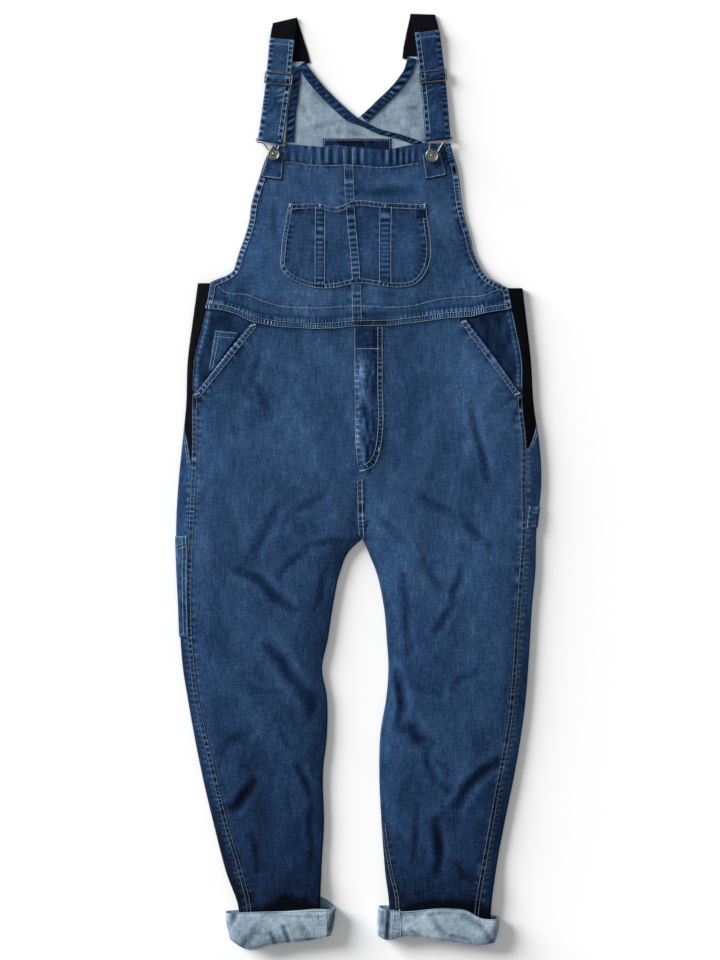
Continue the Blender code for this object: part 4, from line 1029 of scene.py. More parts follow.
def fly():
    t = shares(FLY_COLUMNS)
    y = np.linspace(246, 0, FLY_ROWS)[:, None] + 0 * t
    x = lerp(FLY_LEFT(y), FLY_RIGHT(y), t)
    to_left = np.abs(x - FLY_LEFT(y))
    off_seam = ease((1.0 - t) * 45.0 / 6.0)
    kept = ease((y - 4) / 30.0) * off_seam
    fade_and_shade = base_fade_and_shade(x, y) + relief(FRONT_SEAMS, x, y)[1] - 0.13 * kept - 0.06 * ease((y - 210) / 4.0)
    fade_and_shade += 0.17 * noise(x, y, 5.0, 81, 4.5) * ease((212 - y) / 30.0) * kept
    fade_and_shade += 0.10 * noise(x, y, 3.2, 85, 1.4) * kept
    fade_and_shade += 0.12 * hump(y - 60, 34.0) * ease((17 - x) / 9.0) * kept
    fade_and_shade += 0.34 * hump(y - 156, 42.0) * hump(x - 5, 8.0)
    strokes = ease(1.6 * ripple(y, 9.4, 3.0 * run_noise(y, 30.0, 83)) - 0.5)
    fade_and_shade += 0.26 * strokes * hump(to_left - 4.5, 4.0) * ease((205 - y) / 20.0) * kept
    # A lighter strip along the fly's left edge, with a thin painted shadow right at the edge
    fade_and_shade += (0.30 - 0.5 * (to_left < 0.7)) * fading(to_left, 1.5) * kept
    sunk = 0.85 * (1 - off_seam * ease((y - 2) / 24.0))
    z = front_height(x, y) + 0.9 + 0.25 * noise(x, y, 6.0, 82, 3.0) - sunk
    piece = cloth("fly_front", xyz(x, y, z), 0.7, denim, fade_and_shade)
    dress("fly")


POCKET_TOP = ((-111, 444), (-62, 445.5), (-32, 440), (-8, 449.5), (40, 447), (110, 444))
POCKET_BOTTOM = (
    (-123, 341), (-113, 327), (-91, 315), (-66, 308), (-40, 308), (1, 316), (40, 311),
    (68, 309), (93, 315), (107, 329), (112, 339),
)
POCKET_MOUTH = ((110, 444), (40, 448), (-19, 452), (-32, 440), (-111, 444))
DIVIDERS = ((-68, -53), (35, 53))


def pocket_height(x, y):
    return top_height(x, y) + 0.5 * noise(x, y, 30.0, 91, 1.4) + 0.2 * noise(x, y, 12.0, 92, 1.4)


def bib_pocket():
    top_edge = Curve(POCKET_TOP)
    low_edge = Curve(POCKET_BOTTOM)
    share, t = np.meshgrid(shares(POCKET_ROWS), shares(POCKET_COLUMNS), indexing="ij")
    x = lerp(lerp(-111.0, -123.0, share), lerp(110.0, 112.0, share), t)
    y = lerp(top_edge(x), low_edge(x), share)

    def mouth_line(reach, count, drop):
        return [(float(px), float(top_edge(px)) - drop) for px in np.linspace(*reach, count)]

    outline = smooth_line([(-111, 444), (-115, 423), (-123, 368), *POCKET_BOTTOM, (110, 444)], 4.0)
    seams = [(beside_line(outline, 4.2), 3.2, 0.4, 0.4, 7.0, 0.42)]
    for a, b in DIVIDERS:
        line = [((a + b) / 2, y_at) for y_at in (444, 380, 312)]
        seams.append((line, (b - a) / 2 - 1.5, 0.6, 0.35, 8.0, 0.28))
    seams.append((mouth_line((-110, 109), 40, 5.0), 4.5, 0.5, 0.4, 7.0, 0.26))
    seams.append((BIB_CENTRE, 7.0, 0.7, 0.4, 9.0, 0.24))
    raised, shade = relief(seams, x, y)
    border, _ = beside([*outline, *POCKET_MOUTH], x, y)
    fade_and_shade = base_fade_and_shade(x, y) - 0.075 + shade + 0.16 * fading(border, 1.3)
    piece = patch("patch_pocket", x, y, lifted(pocket_height, raised), 1.7, denim, fade_and_shade, 1.1, 1.6)
    dress("bib_pocket")
    stitch_rows(outline, (1.3, 7.4), lifted(pocket_height, 1.9))
    for pair in DIVIDERS:
        for px in pair:
            stitch_line(smooth_line([(px + 0.8, 440), (px, 380), (px, 314)]), lifted(pocket_height, 2.0))
    for drop in (2.0, 9.0):
        stitch_line(mouth_line((-108, 108), 60, drop), lifted(pocket_height, 2.2))
    for offset in (-6.0, 6.0):
        line = [point for point in beside_line(BIB_CENTRE, offset) if 318 < point[1] < 442]
        stitch_line(line, lifted(pocket_height, 2.4))


def quad_grid(corners, rows, columns):
    a, b, c, d = [np.array(corner, float) for corner in corners]
    t = shares(columns)[None, :, None]
    grid = lerp(lerp(a, b, t), lerp(d, c, t), shares(rows)[:, None, None])
    return grid[..., 0], grid[..., 1]


TABS = {
    "right": ((-141, 530), (-117, 528), (-121, 481), (-157, 486)),
    "left": ((102, 524.5), (132.5, 530), (143, 489), (108.5, 482)),
}
COIN_POCKET = ((-228.5, 242), (-187.5, 238), (-233, 176), (-239, 174))
COIN_STITCHES = (
    ((-227, 239.5), (-190, 236)), ((-227.5, 231.5), (-194, 228)), ((-227, 236), (-237, 178)),
    ((-221, 236), (-232, 180)),
)


def small_patches():
    for side, corners in TABS.items():
        x, y = quad_grid(corners, 30, 20)
        fade_and_shade = base_fade_and_shade(x, y) - 0.09 + 0.08 * noise(x, y, 6.0, 92)
        piece = patch("tab_" + side, x, y, bib_height, 1.7, denim, fade_and_shade)
        dress("button_tab_" + side)
        middle = np.mean(corners, axis=0)
        a, b, c, d = [tuple(middle + (np.array(corner) - middle) * 0.86) for corner in corners]
        line = []
        for start, end in ((a, d), (d, c), (c, b)):
            line += list(zip(np.linspace(start[0], end[0], 12), np.linspace(start[1], end[1], 12)))[:-1]
        stitch_line(line + [b], lifted(bib_height, 1.7))
    x, y = quad_grid(((93, 438), (109.4, 438), (108.6, 421), (93, 421)), 12, 12)
    piece = patch("pocket_corner_tab", x, y, lifted(top_height, 1.9), 0.8, denim_raw, 0.17 + 0 * x, 0.6)
    dress("pocket_tab")
    x, y = quad_grid(COIN_POCKET, 40, 26)
    fade_and_shade = base_fade_and_shade(x, y) - 0.04 + 0.07 * noise(x, y, 5.0, 93)
    piece = patch("coin_pocket_front", x, y, lifted(top_height, -FACING_DROP), 1.3, denim, fade_and_shade, 0.9)
    dress("coin_pocket")
    for line in COIN_STITCHES:
        stitch_line(line, lifted(top_height, -0.9))


def over_fold(name, side, heights, low, high, by):
    """A small piece sewn round the outer fold."""
    y = np.array(heights)[:, None]
    girth = lerp(low, high(y), shares(40))
    y = y + 0 * girth
    x, z = pushed_out(side, *round_outer(side, y, girth), girth, by)
    ends = np.minimum(np.abs(y - heights[0]), np.abs(y - heights[-1]))
    inner_edge = np.abs(x - x[:, -1:])
    fade_and_shade = base_fade_and_shade(x, y) + 0.09 * noise(x, y, 5.0, 95) + 0.20 * fading(ends, 1.4)
    fade_and_shade += 0.20 * fading(inner_edge, 1.2) - 0.10 * hump(inner_edge - 4.5, 2.0)
    fade_and_shade += 0.12 * ripple(y, 8.0, 4 * run_noise(y, 20.0, 96)) * hump(inner_edge - 4.0, 3)
    return cloth(name, xyz(x, y, np.maximum(z, 0.2)), 1.1, denim, fade_and_shade, turn=-SIGN[side])


def side_pieces():
    high = Curve(((-88, 20), (-108, 21), (-142, 19), (-187, 17), (-222, 16.5), (-249, 16)))
    piece = over_fold("tool_pocket_front", "right", np.linspace(-88, -249, 70), -3.9, high, 1.7)
    dress("tool_pocket")
    on_pocket = lifted(fold_height("right"), 1.75)
    for inward in (1.6, 7.4):
        levels = np.linspace(-92, -247, 40)
        stitch_line([(x_at("right", y, float(high(y)) - inward), y) for y in levels], on_pocket)
    for y, drop in ((-98.0, 5.0), (-104.0, 5.0), (-244.0, 0.0)):
        end = x_at("right", y, float(high(y)) - 2.0)
        stitch_line([(x_at("right", y, 4.0), y - drop), (end, y)], on_pocket)
    piece = over_fold("loop_strip", "left", np.linspace(-41, -74, 22), -2.6, lambda y: 19.0 + 0 * y, 1.8)
    dress("hammer_loop")
    on_loop = lifted(fold_height("left"), 1.85)
    for y in (-44.0, -50.0, -71.0):
        stitch_line([(x_at("left", y, 2.0), y), (x_at("left", y, 18.0), y)], on_loop)


# The back seen above the bib, reverse side up: height, x of both edges
YOKE_RIGHT = (
    (672, -105, -85), (650, -105, -68.5), (629, -107, -51), (613, -109, -35), (598, -111.3, -19),
    (582, -113, 0), (574, -113.5, 15), (566, -114, 31.6), (555, -115, 71), (544, -115.6, 103),
    (530, -116, 103), (480, -118, 100),
)
YOKE_LEFT = (
    (680, 80.4, 101), (670, 77.4, 102.5), (659, 74, 104), (648, 66.5, 105), (637, 58, 106),
    (624, 45.5, 107.4), (611, 31.6, 108.6), (597, 17.5, 109.6), (584, 2.4, 110.4), (566, -30, 111),
    (553, -70, 111.5), (544, -100, 112), (488.3, -100, 113),
)
YOKE_LEFT_RAISED = ((680, 1.7), (670, 1.7), (659, 0.9), (648, 0.3), (637, 0), (480, 0))
BACK_BIB = (
    (275.3, -239, 250.5), (290, -237, 248), (317.3, -228, 229), (326, -205, 208), (345, -185, 190),
    (372, -172, 176), (400, -160, 165), (440, -140, 145), (488, -118, 122),
)

YOKE_WRINKLES = (
    ((-68, 622), (-55, 610), (-40, 602)), ((-84, 562), (-50, 571), (-12, 576)), ((95, 642), (71, 618)),
    ((98, 600), (60, 592)), ((-88, 600), (-76, 578)), ((-30, 560), (10, 556)),
)


def under_yoke_z(y):
    return straight(YOKE_LEFT_RAISED, y)


def level(z):
    """A height that is the same everywhere."""
    return lambda *at: 0 * at[-1] + z


def flat_piece(name, rows, base, seed):
    """A nearly flat piece between two edges, with faint rumples on its upper face."""
    count, columns, thickness = 90, 70, 1.4
    t = shares(columns)
    y = np.linspace(rows[0][0], rows[-1][0], count)[:, None] + 0 * t
    low = straight(column(rows, 1), y)
    high = straight(column(rows, 2), y)
    x = lerp(low, high, t)
    edge = np.minimum(np.abs(x - low), np.abs(x - high))
    rumple = 0.36 * noise(x, y, 24.0, seed, 1.5) + 0.18 * noise(x + y, y, 9.0, seed + 1, 1.4)
    fade_and_shade = 0.5 + 0.10 * noise(x, y, 30.0, seed + 2, 1.5) + 0.08 * noise(x, y, 8.0, seed + 3, 2.0)
    # Wrinkles are pressed into the face and painted darker as their shade; the piece also darkens towards
    # both edges
    for line in YOKE_WRINKLES:
        distance, _ = beside(line, x, y)
        rumple -= 0.9 * hump(distance, 4.5)
        fade_and_shade -= 0.16 * hump(distance, 4.0) * ease(0.7 + noise(x, y, 10.0, seed + 4))
    fade_and_shade -= 0.18 * fading(edge, 5.0)
    z = base(y) + thickness + (np.minimum(rumple, 0.35) - 0.1) * ease(edge / 5.0) * 0.6
    piece = cloth(name, xyz(x, y, z), thickness * 0.8, reverse, fade_and_shade, floor=0.0)
    # The face side of the cloth, on the underside and the rim
    piece.data.materials.append(denim)
    upper = (count - 1) * (columns - 1)
    piece.data.polygons.foreach_set("material_index", np.arange(len(piece.data.polygons)) >= upper)
    return piece


def strip(name, node, line, width, base, seed):
    """A dark facing along an edge, puckered between its stitches."""
    line = smooth_line(line, 3.0)
    offsets = shares(10)
    rows = []
    for k, (x, y) in enumerate(line):
        dx, dy, run = neighbours(line, k)
        wide = width(y)
        rows.append([(x - dy / run * d * wide, y + dx / run * d * wide) for d in offsets])
    flat = np.array(rows)
    x, y = flat[..., 0], flat[..., 1]
    runs = np.arange(len(line)) * 3.0
    along = runs[:, None] + 0 * x
    profile = np.sin(math.pi * offsets)
    beat = ripple(along, 11.0, 5.0 * run_noise(along, 33.0, seed))
    slanted = ripple(along + 9.0 * offsets, 10.0, 4.0 * run_noise(along, 28.0, seed))
    z = base(y) + 1.1 + 0.3 * beat * profile + 0.3 * slanted * profile
    patchy = 0.4 + 0.6 * ease(0.55 + 0.9 * run_noise(along, 22.0, seed + 1))
    # The slanted puckers' crests are painted lighter and their hollows darker, as light and shade; both
    # edges are lighter
    fade_and_shade = 0.28 + 0.40 * slanted * profile * patchy + 0.10 * noise(x, y, 5.0, seed + 2)
    fade_and_shade += 0.14 * np.abs(2 * offsets - 1) ** 6
    piece = cloth(name, xyz(x, y, z), 0.9, denim_raw, fade_and_shade)
    wide = float(abs(width(600)))
    dress(node)


def back_and_yokes():
    for name, node, rows, base, area, seed in (
        ("back_panel", "back_bib", BACK_BIB, level(0.0), 0.078, 300),
        ("yoke_under", "yoke_left", YOKE_LEFT, under_yoke_z, 0.0215, 310),
        ("yoke_over", "yoke_right", YOKE_RIGHT, level(1.8), 0.0255, 320),
    ):
        piece = flat_piece(name, rows, base, seed)
        dress(node)
    neck = [(row[2], row[0]) for row in YOKE_RIGHT[:10]]
    strip("neck_facing_over", "neck_facing_right", neck,
          lambda y: lerp(-8.5, -15.0, ease((y - 575) / 18.0)), level(3.6), 330)
    neck = [(row[1], row[0]) for row in YOKE_LEFT[:8]] + [(5, 586)]
    strip("neck_facing_under", "neck_facing_left", neck, lambda y: 15.0,
          lambda y: under_yoke_z(y) + 1.8, 333)
    arm = [(-105, 664)] + [(row[1], row[0]) for row in YOKE_RIGHT[1:10]]
    strip("arm_facing_over", "arm_facing_right", arm, lambda y: 13.5, level(3.6), 336)
    x, y = quad_grid(((-56, 549), (54, 549), (54, 511), (-56, 511)), 30, 70)
    piece = patch("inner_patch", x, y, level(3.6), 1.2, denim_raw, 0.18 + 0.12 * noise(x, y, 7.0, 340, 3.0))
    dress("back_patch")
    stitch_line([(-53.5, 513), (-53.5, 546.5), (51.5, 546.5), (51.5, 513)], level(4.8))


# Straps and their fastenings
STRAPS = {
    "right": ((-121, 708), (-129, 626), (-140, 545.5)),
    "left": ((111, 720), (119.6, 650), (128.5, 549)),
}
STRAP_WIDTH = 40.0
STRAP_BASE = 1.9
STRAP_UPPER = (
    (163, 6.0), (148, 5.4), (128, 4.2), (115, 3.4), (108, 3.4), (102.6, 6.9), (97.4, 6.9),
    (92, 3.6), (84, 3.8), (64, 4.2), (34, 4.6), (9, 5.6), (0, 6.0),
)
SLIDER_AT = 100.0
HOOK_BAR_Z = 3.6
BUTTONS = {"right": ((-134, 523), 20.0), "left": ((119, 520.5), 22.0)}


class StrapLine:
    """The strap's centre line, read by the distance up from its bottom fold."""

    def __init__(self, points):
        (self.x, self.y), self.length = curve_through(points[::-1])

    def place(self, distance):
        return np.array([float(self.x(distance)), float(self.y(distance))])

    def run(self, distance):
        near = min(max(distance, 1.0), self.length - 1.0)
        step = self.place(near + 1) - self.place(near - 1)
        return step / np.hypot(*step)

    def across(self, distance):
        run = self.run(distance)
        return np.array([run[1], -run[0]])

    def at(self, distance):
        over = max(distance - self.length, 0.0) + min(distance, 0.0)
        return self.place(distance) + self.run(distance) * over


strap_lines = {side: StrapLine(points) for side, points in STRAPS.items()}


def band(name, stations, thickness, finish, fade_and_shade_of, relief_of, columns=26):
    """A band of cloth through stations of a middle point and a direction across it."""
    middles = np.array([station[0] for station in stations], float)
    acrosses = np.array([station[1] for station in stations], float)
    runs = np.gradient(middles, axis=0)
    runs /= np.linalg.norm(runs, axis=-1, keepdims=True)
    normals = np.cross(runs, acrosses)
    normals /= np.linalg.norm(normals, axis=-1, keepdims=True)
    steps = np.cumsum(np.linalg.norm(np.diff(middles, axis=0), axis=-1))
    half, round_by = STRAP_WIDTH / 2, thickness / 2
    along, q = np.meshgrid(np.concatenate([[0.0], steps]), np.linspace(-half, half, columns), indexing="ij")
    edge = np.sqrt(clamp(1 - (np.maximum(np.abs(q) - (half - round_by), 0) / round_by) ** 2))
    low = round_by * (0.15 + 0.85 * edge)
    high = low + relief_of(along, q)
    flat = middles[:, None] + acrosses[:, None] * q[..., None]
    outer = flat + normals[:, None] * high[..., None]
    inner = flat - normals[:, None] * low[..., None]
    return add_shell(name, outer, inner, finish, fade_and_shade_of(along, q)), outer


def strap(side):
    line = strap_lines[side]
    profile = Curve(STRAP_UPPER)
    stations = []

    def add(distance, z, turn_at):
        stations.append(((*line.at(distance), z + STRAP_BASE), (*line.across(turn_at), 0.0)))

    for distance in np.linspace(line.length, 0.0, 80):
        add(distance, float(profile(distance)), distance)
    for k in range(1, 8):
        angle = math.pi * (0.5 - k / 8)
        add(-2.4 * math.cos(angle), HOOK_BAR_Z + 2.4 * math.sin(angle), 0)
    for distance in np.linspace(0.0, 94.0, 30):
        add(distance, 1.2, distance)

    def rope_beat(along):
        return ripple(along, 9.0, 5.0 * run_noise(along, 30.0, 402 + SIGN[side]))

    def tone(along, q):
        base = (0.45 if side == "right" else 0.35) + 0.05 * noise(along, q, 22.0, 400)
        base = base + 0.07 * noise(along + q, q, 7.0, 401)
        outer = -SIGN[side] * q
        # The slanted bands are painted light and shade of wrinkles that the mesh doesn't have; the rope
        # beside the seams follows the puckers, partly worn tone and partly painted light and shade
        slanted = ripple(along + 0.7 * q, 14.0, 4.0 * noise(along, q, 26.0, 403))
        wrinkle = ease((outer + 4.0) / 10.0) * ease(0.5 + noise(along, q, 30.0, 404))
        seam_end = 0.10 * ease((13.0 - along) / 3.0) * (1 - 0.8 * hump(along - 7.0, 1.5))
        lit_edge = 0.16 * hump(outer + 19.0, 1.0) - 0.12 * hump(outer + 15.8, 0.9)
        rope = 0.28 * hump(np.abs(q) - 16.0, 3.5) * rope_beat(along)
        return base + rope + 0.19 * slanted * wrinkle + seam_end + lit_edge

    def puckers(along, q):
        return 0.35 * hump(np.abs(q) - 15.0, 3.5) * rope_beat(along) + 0.15 * noise(along, q, 12.0, 405)

    piece, outer = band("strap_cloth_" + side, stations, 1.9, denim, tone, puckers)
    dress("strap_" + side)
    across = outer[4, 2:24]
    stitch_line(across[:, :2], level(float(across[:, 2].mean())))
    for q_column in ((20, 24) if side == "right" else (5, 1)):
        rows = outer[2:78, q_column]
        heights = [(float(y), float(z)) for _, y, z in rows]
        stitch_line(rows[:, :2], lambda x, y: straight(heights, y) + 0.05)


# Middles of the elastics and their turn in degrees, from the strap over the shoulder to the yoke
ELASTICS = {
    "right": ((-122, 697, 5.2, -5), (-120.6, 709, 5.4, -5), (-118.5, 724, 4.6, 4),
              (-117, 734, 3.4, 11), (-116.6, 737.4, 2.7, 13), (-116.4, 738.3, 2.0, 13),
              (-116.3, 737.4, 1.2, 13), (-115, 732, 0.8, 14), (-106, 703, 0.8, 17),
              (-98.5, 680, 0.8, 18), (-94.8, 665, 0.8, 18)),
    "left": ((110, 709, 5.2, -7), (111.3, 720, 5.4, -7), (108, 734, 4.6, -4),
             (105, 743, 3.6, -2), (104.6, 747.4, 2.7, -2), (104.3, 748.0, 2.0, -2),
             (104.2, 747.4, 1.2, -2), (103, 740, 0.8, -3), (97.5, 715, 0.8, -6),
             (93, 692, 0.8, -8), (91.2, 674.5, 0.8, -9)),
}


def strap_elastic(side):
    rows = []
    for first, second in zip(ELASTICS[side], ELASTICS[side][1:]):
        for t in shares(7)[:-1]:
            rows.append([lerp(a, b, t) for a, b in zip(first, second)])
    rows.append(ELASTICS[side][-1])
    turns = [math.radians(row[3]) for row in rows]
    stations = [(row[:3], (math.cos(turn), math.sin(turn), 0.0)) for row, turn in zip(rows, turns)]
    # The ribs' crests are painted lighter and their grooves darker, as light and shade
    piece, _ = band("elastic_band_" + side, stations, 1.2, elastic,
                    fade_and_shade_of=lambda along, q: 0.45 + 0.25 * ripple(q, 2.2),
                    relief_of=lambda along, q: 0.10 * ripple(q, 2.2), columns=60)
    dress("elastic_" + side)


def tube(name, path, radius, finish, closed=False):
    """A round wire through a path of close points."""
    sides = 12
    path = np.array(path, float)
    count = len(path)
    if closed:
        tangent = np.roll(path, -1, axis=0) - np.roll(path, 1, axis=0)
    else:
        tangent = np.gradient(path, axis=0)
    tangent /= np.linalg.norm(tangent, axis=-1, keepdims=True)
    side = np.cross(tangent, (0.0, 0.0, 1.0))
    side /= np.maximum(np.linalg.norm(side, axis=-1, keepdims=True), 1e-6)
    other = np.cross(side, tangent)
    angles = np.linspace(0.0, math.tau, sides, endpoint=False)[None, :, None]
    rings = path[:, None] + radius * (side[:, None] * np.cos(angles) + other[:, None] * np.sin(angles))
    faces = grid_faces(count, sides, wrap=True).tolist()
    last = (count - 1) * sides
    if closed:
        faces += ring_faces(last, 0, sides)
    else:
        faces += [tuple(range(sides - 1, -1, -1)), tuple(range(last, last + sides))]
    piece = add_mesh(name, rings, faces, finish)
    return piece


def rounded_ring(points, step=0.6):
    """Close points on a smooth closed curve through the given ones."""
    points = [np.array(point, float) for point in points]
    out = []
    for i, p1 in enumerate(points):
        p0, p2, p3 = points[i - 1], points[(i + 1) % len(points)], points[(i + 2) % len(points)]
        number = max(int(np.linalg.norm(p2 - p1) / step), 1)
        for t in np.arange(number) / number:
            out.append(0.5 * (2 * p1 + (p2 - p0) * t + (2 * p0 - 5 * p1 + 4 * p2 - p3) * t**2
                              + (3 * p1 - p0 - 3 * p2 + p3) * t**3))
    return out


def slider(side):
    """Wire frame over the strap with the bar beneath it."""
    line = strap_lines[side]
    middle = line.at(SLIDER_AT)
    run = line.run(SLIDER_AT)
    across = line.across(SLIDER_AT)

    def place(q, s, z):
        return (*(middle + across * q + run * s), z + STRAP_BASE)

    half_width, half_height, corner = 21.6, 8.9, 2.4
    ring = []
    for quarter, (right, up) in enumerate(((1, 1), (-1, 1), (-1, -1), (1, -1))):
        for k in range(6):
            angle = math.radians(90.0 * quarter + 18.0 * k)
            q = right * (half_width - corner) + corner * math.cos(angle)
            s = up * (half_height - corner) + corner * math.sin(angle)
            ring.append(place(q, s, 6.5))
    piece = tube("slider_frame_" + side, ring, 1.1, pewter, closed=True)
    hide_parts("slider_" + side)
    bar = ((-21.6, 5.9), (-20.8, 5.9), (-19.6, 4.5), (0.0, 4.5), (19.6, 4.5), (20.8, 5.9), (21.6, 5.9))
    tube("slider_bar_" + side, [place(q, 0.0, z) for q, z in bar], 1.0, pewter)


def tab_top(side):
    """Height of the button tab's upper face at the button."""
    (x, y), _ = BUTTONS[side]
    inward = abs(straight(BIB_SIDE[side], y) - x)
    edge = float(bib_side_z(y))
    return edge + (float(bib_centre_z(y)) - edge) * float(rise(inward)) + 1.8


def hook(side):
    line = strap_lines[side]
    start = line.at(0.0)
    across = line.across(0.0)
    button_at = np.array(BUTTONS[side][0], float)
    reach = float(np.hypot(*(button_at - start)))
    along = (button_at - start) / reach
    bar_z = HOOK_BAR_Z + STRAP_BASE
    edge_z = tab_top(side) + 2.3
    catch_z = tab_top(side) + 1.9
    half = (
        (12.0, 0.0, bar_z), (20.6, 0.0, bar_z), (22.5, 1.2, bar_z + 0.6), (22.7, 4.6, edge_z - 0.4),
        (20.8, 6.2, edge_z), (13.6, 6.8, edge_z), (10.9, 9.4, edge_z + 0.1), (6.4, reach - 4.0, catch_z),
        (5.8, reach + 1.0, catch_z), (3.9, reach + 4.6, catch_z), (0.0, reach + 5.9, catch_z),
    )
    table = [*half, *((-q, s, z) for q, s, z in reversed(half[:-1]))]
    path = [(*(start + across * q + along * s), z) for q, s, z in table]
    piece = tube("hook_wire_" + side, rounded_ring(path), 1.0, wire, closed=True)
    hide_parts("hook_" + side)


def button(side):
    """A tack button: shank, domed head with a ring and a raised middle."""
    (x, y), diameter = BUTTONS[side]
    radius = diameter / 2
    low = tab_top(side) + 0.3
    under = tab_top(side) + 3.4
    over = under + 3.0
    profile = (
        (3.4, low), (3.4, under - 0.2), (3.8, under), (radius - 1.2, under),
        (radius - 0.3, under + 0.35), (radius, under + 1.1), (radius - 0.25, over - 0.9),
        (radius - 0.9, over - 0.25), (radius - 1.7, over), (radius - 2.5, over - 0.2),
        (radius - 3.1, over - 0.8), (radius - 3.6, over - 0.95), (radius - 4.2, over - 0.7),
        (3.9, over - 0.45), (3.5, over - 0.8), (3.0, over - 0.85), (2.5, over - 0.35),
        (1.6, over + 0.05), (0.8, over + 0.2),
    )
    sides = 48
    angles = np.linspace(0.0, math.tau, sides, endpoint=False)
    points = [(x + r * math.cos(a), y + r * math.sin(a), z) for r, z in profile for a in angles]
    points += [(x, y, low), (x, y, over + 0.22)]
    rows = len(profile)
    base, tip, last = rows * sides, rows * sides + 1, (rows - 1) * sides
    faces = grid_faces(rows, sides, wrap=True).tolist()
    faces += [(base, (j + 1) % sides, j) for j in range(sides)]
    faces += [(tip, last + j, last + (j + 1) % sides) for j in range(sides)]
    piece = add_mesh("tack_button_" + side, points, faces, pewter)
    piece.data.set_sharp_from_angle(angle=math.radians(50))
    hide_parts("button_" + side)


# Rolled cuffs: ends at their upper and lower edge, and lines of the edges
CUFF_HEIGHT = 24.0
CUFF_SEED = {"right": 500, "left": 520}
CUFFS = {
    "right": {
        "left": (-214, -206), "right": (-33, -41),
        "upper": ((-214, -690), (-160, -688), (-80, -687), (-33, -685)),
        "rear": ((-214, -688), (-120, -680), (-57, -665), (-33, -683)),
        "lower": ((-206, -731), (-175, -748), (-137, -740), (-72, -732), (-41, -725)),
    },
    "left": {
        "left": (31, 31), "right": (229, 222),
        "upper": ((31, -680), (62, -687), (147, -682), (173, -685), (196, -698), (229, -700)),
        "rear": ((31, -679), (130, -681), (229, -698)),
        "lower": ((31, -726), (44, -732), (69, -727.6), (150, -735.6), (206, -740), (222, -735.6)),
    },
}

# Folds and dents on the cuffs' upper faces: x and y of both ends, half width, depth
CUFF_FOLDS = {
    "right": (
        (-118, -712, -106, -742, 4.5, 2.0), (-138, -722, -128, -744, 4.0, 1.4),
        (-196, -694, -209, -722, 6.0, 1.4), (-160, -716, -182, -742, 7.0, 1.2),
        (-92, -700, -78, -728, 6.0, 0.8), (-36, -690, -44, -716, 3.5, 1.6),
        (-150, -692, -60, -696, 4.0, 0.7), (-100, -734, -66, -731, 3.0, 1.0),
    ),
    "left": (
        (50, -688, 47, -728, 3.5, 2.2), (40, -690, 36, -722, 4.0, 1.2), (118, -694, 138, -722, 6.0, 0.9),
        (170, -694, 196, -712, 6.0, 1.3), (196, -706, 214, -734, 5.0, 1.2), (86, -718, 104, -729, 4.0, 1.0),
        (72, -692, 150, -690, 4.0, 0.7), (150, -726, 178, -732, 3.0, 1.1),
    ),
}
CUFF_SEAM = {
    "right": ((-61.0, -684), (-60.0, -706), (-61.5, -733)),
    "left": ((57.0, -684), (58.0, -706), (58.5, -733)),
}


def cuff_relief(side, x, y):
    """Height and shade of a cuff's folds and its felled seam."""
    height = np.zeros(x.shape)
    shade = np.zeros(x.shape)
    for x0, y0, x1, y1, width, depth in CUFF_FOLDS[side]:
        square = (beside([(x0, y0), (x1, y1)], x, y)[0] / width) ** 2
        valley = depth * np.exp(-square)
        bank = 0.5 * depth * square * np.exp(-square / 1.5)
        height += bank - valley
        shade += 0.045 * bank - 0.10 * valley
    distance, along = beside(beside_line(smooth_line(CUFF_SEAM[side], 3.0), 5.0), x, y)
    inside = ease((5.2 - distance) / 1.5)
    beat = ripple(along, 7.0)
    height += inside * (0.5 + 0.2 * beat)
    shade += inside * 0.05 * beat - 0.20 * hump(distance - 5.9, 1.1)
    return height, shade


def cuff_amount(side, x, y, down):
    """How far a cuff's face stands out of its plain form, and the folds' shade."""
    seed = CUFF_SEED[side]
    dent = 0.9 * noise(x, y, 30.0, seed, 0.8) + 0.6 * noise(x + y, y, 13.0, seed + 1, 1.2)
    dent += 0.3 * noise(x - y, y, 6.0, seed + 2, 1.0)
    folds, fold_shade = cuff_relief(side, x, y)
    fall = 1.6 * (np.abs(down - 0.5) * 2) ** 3
    return np.clip(dent + folds, -2.8, 0.6) - 0.8 - fall, fold_shade


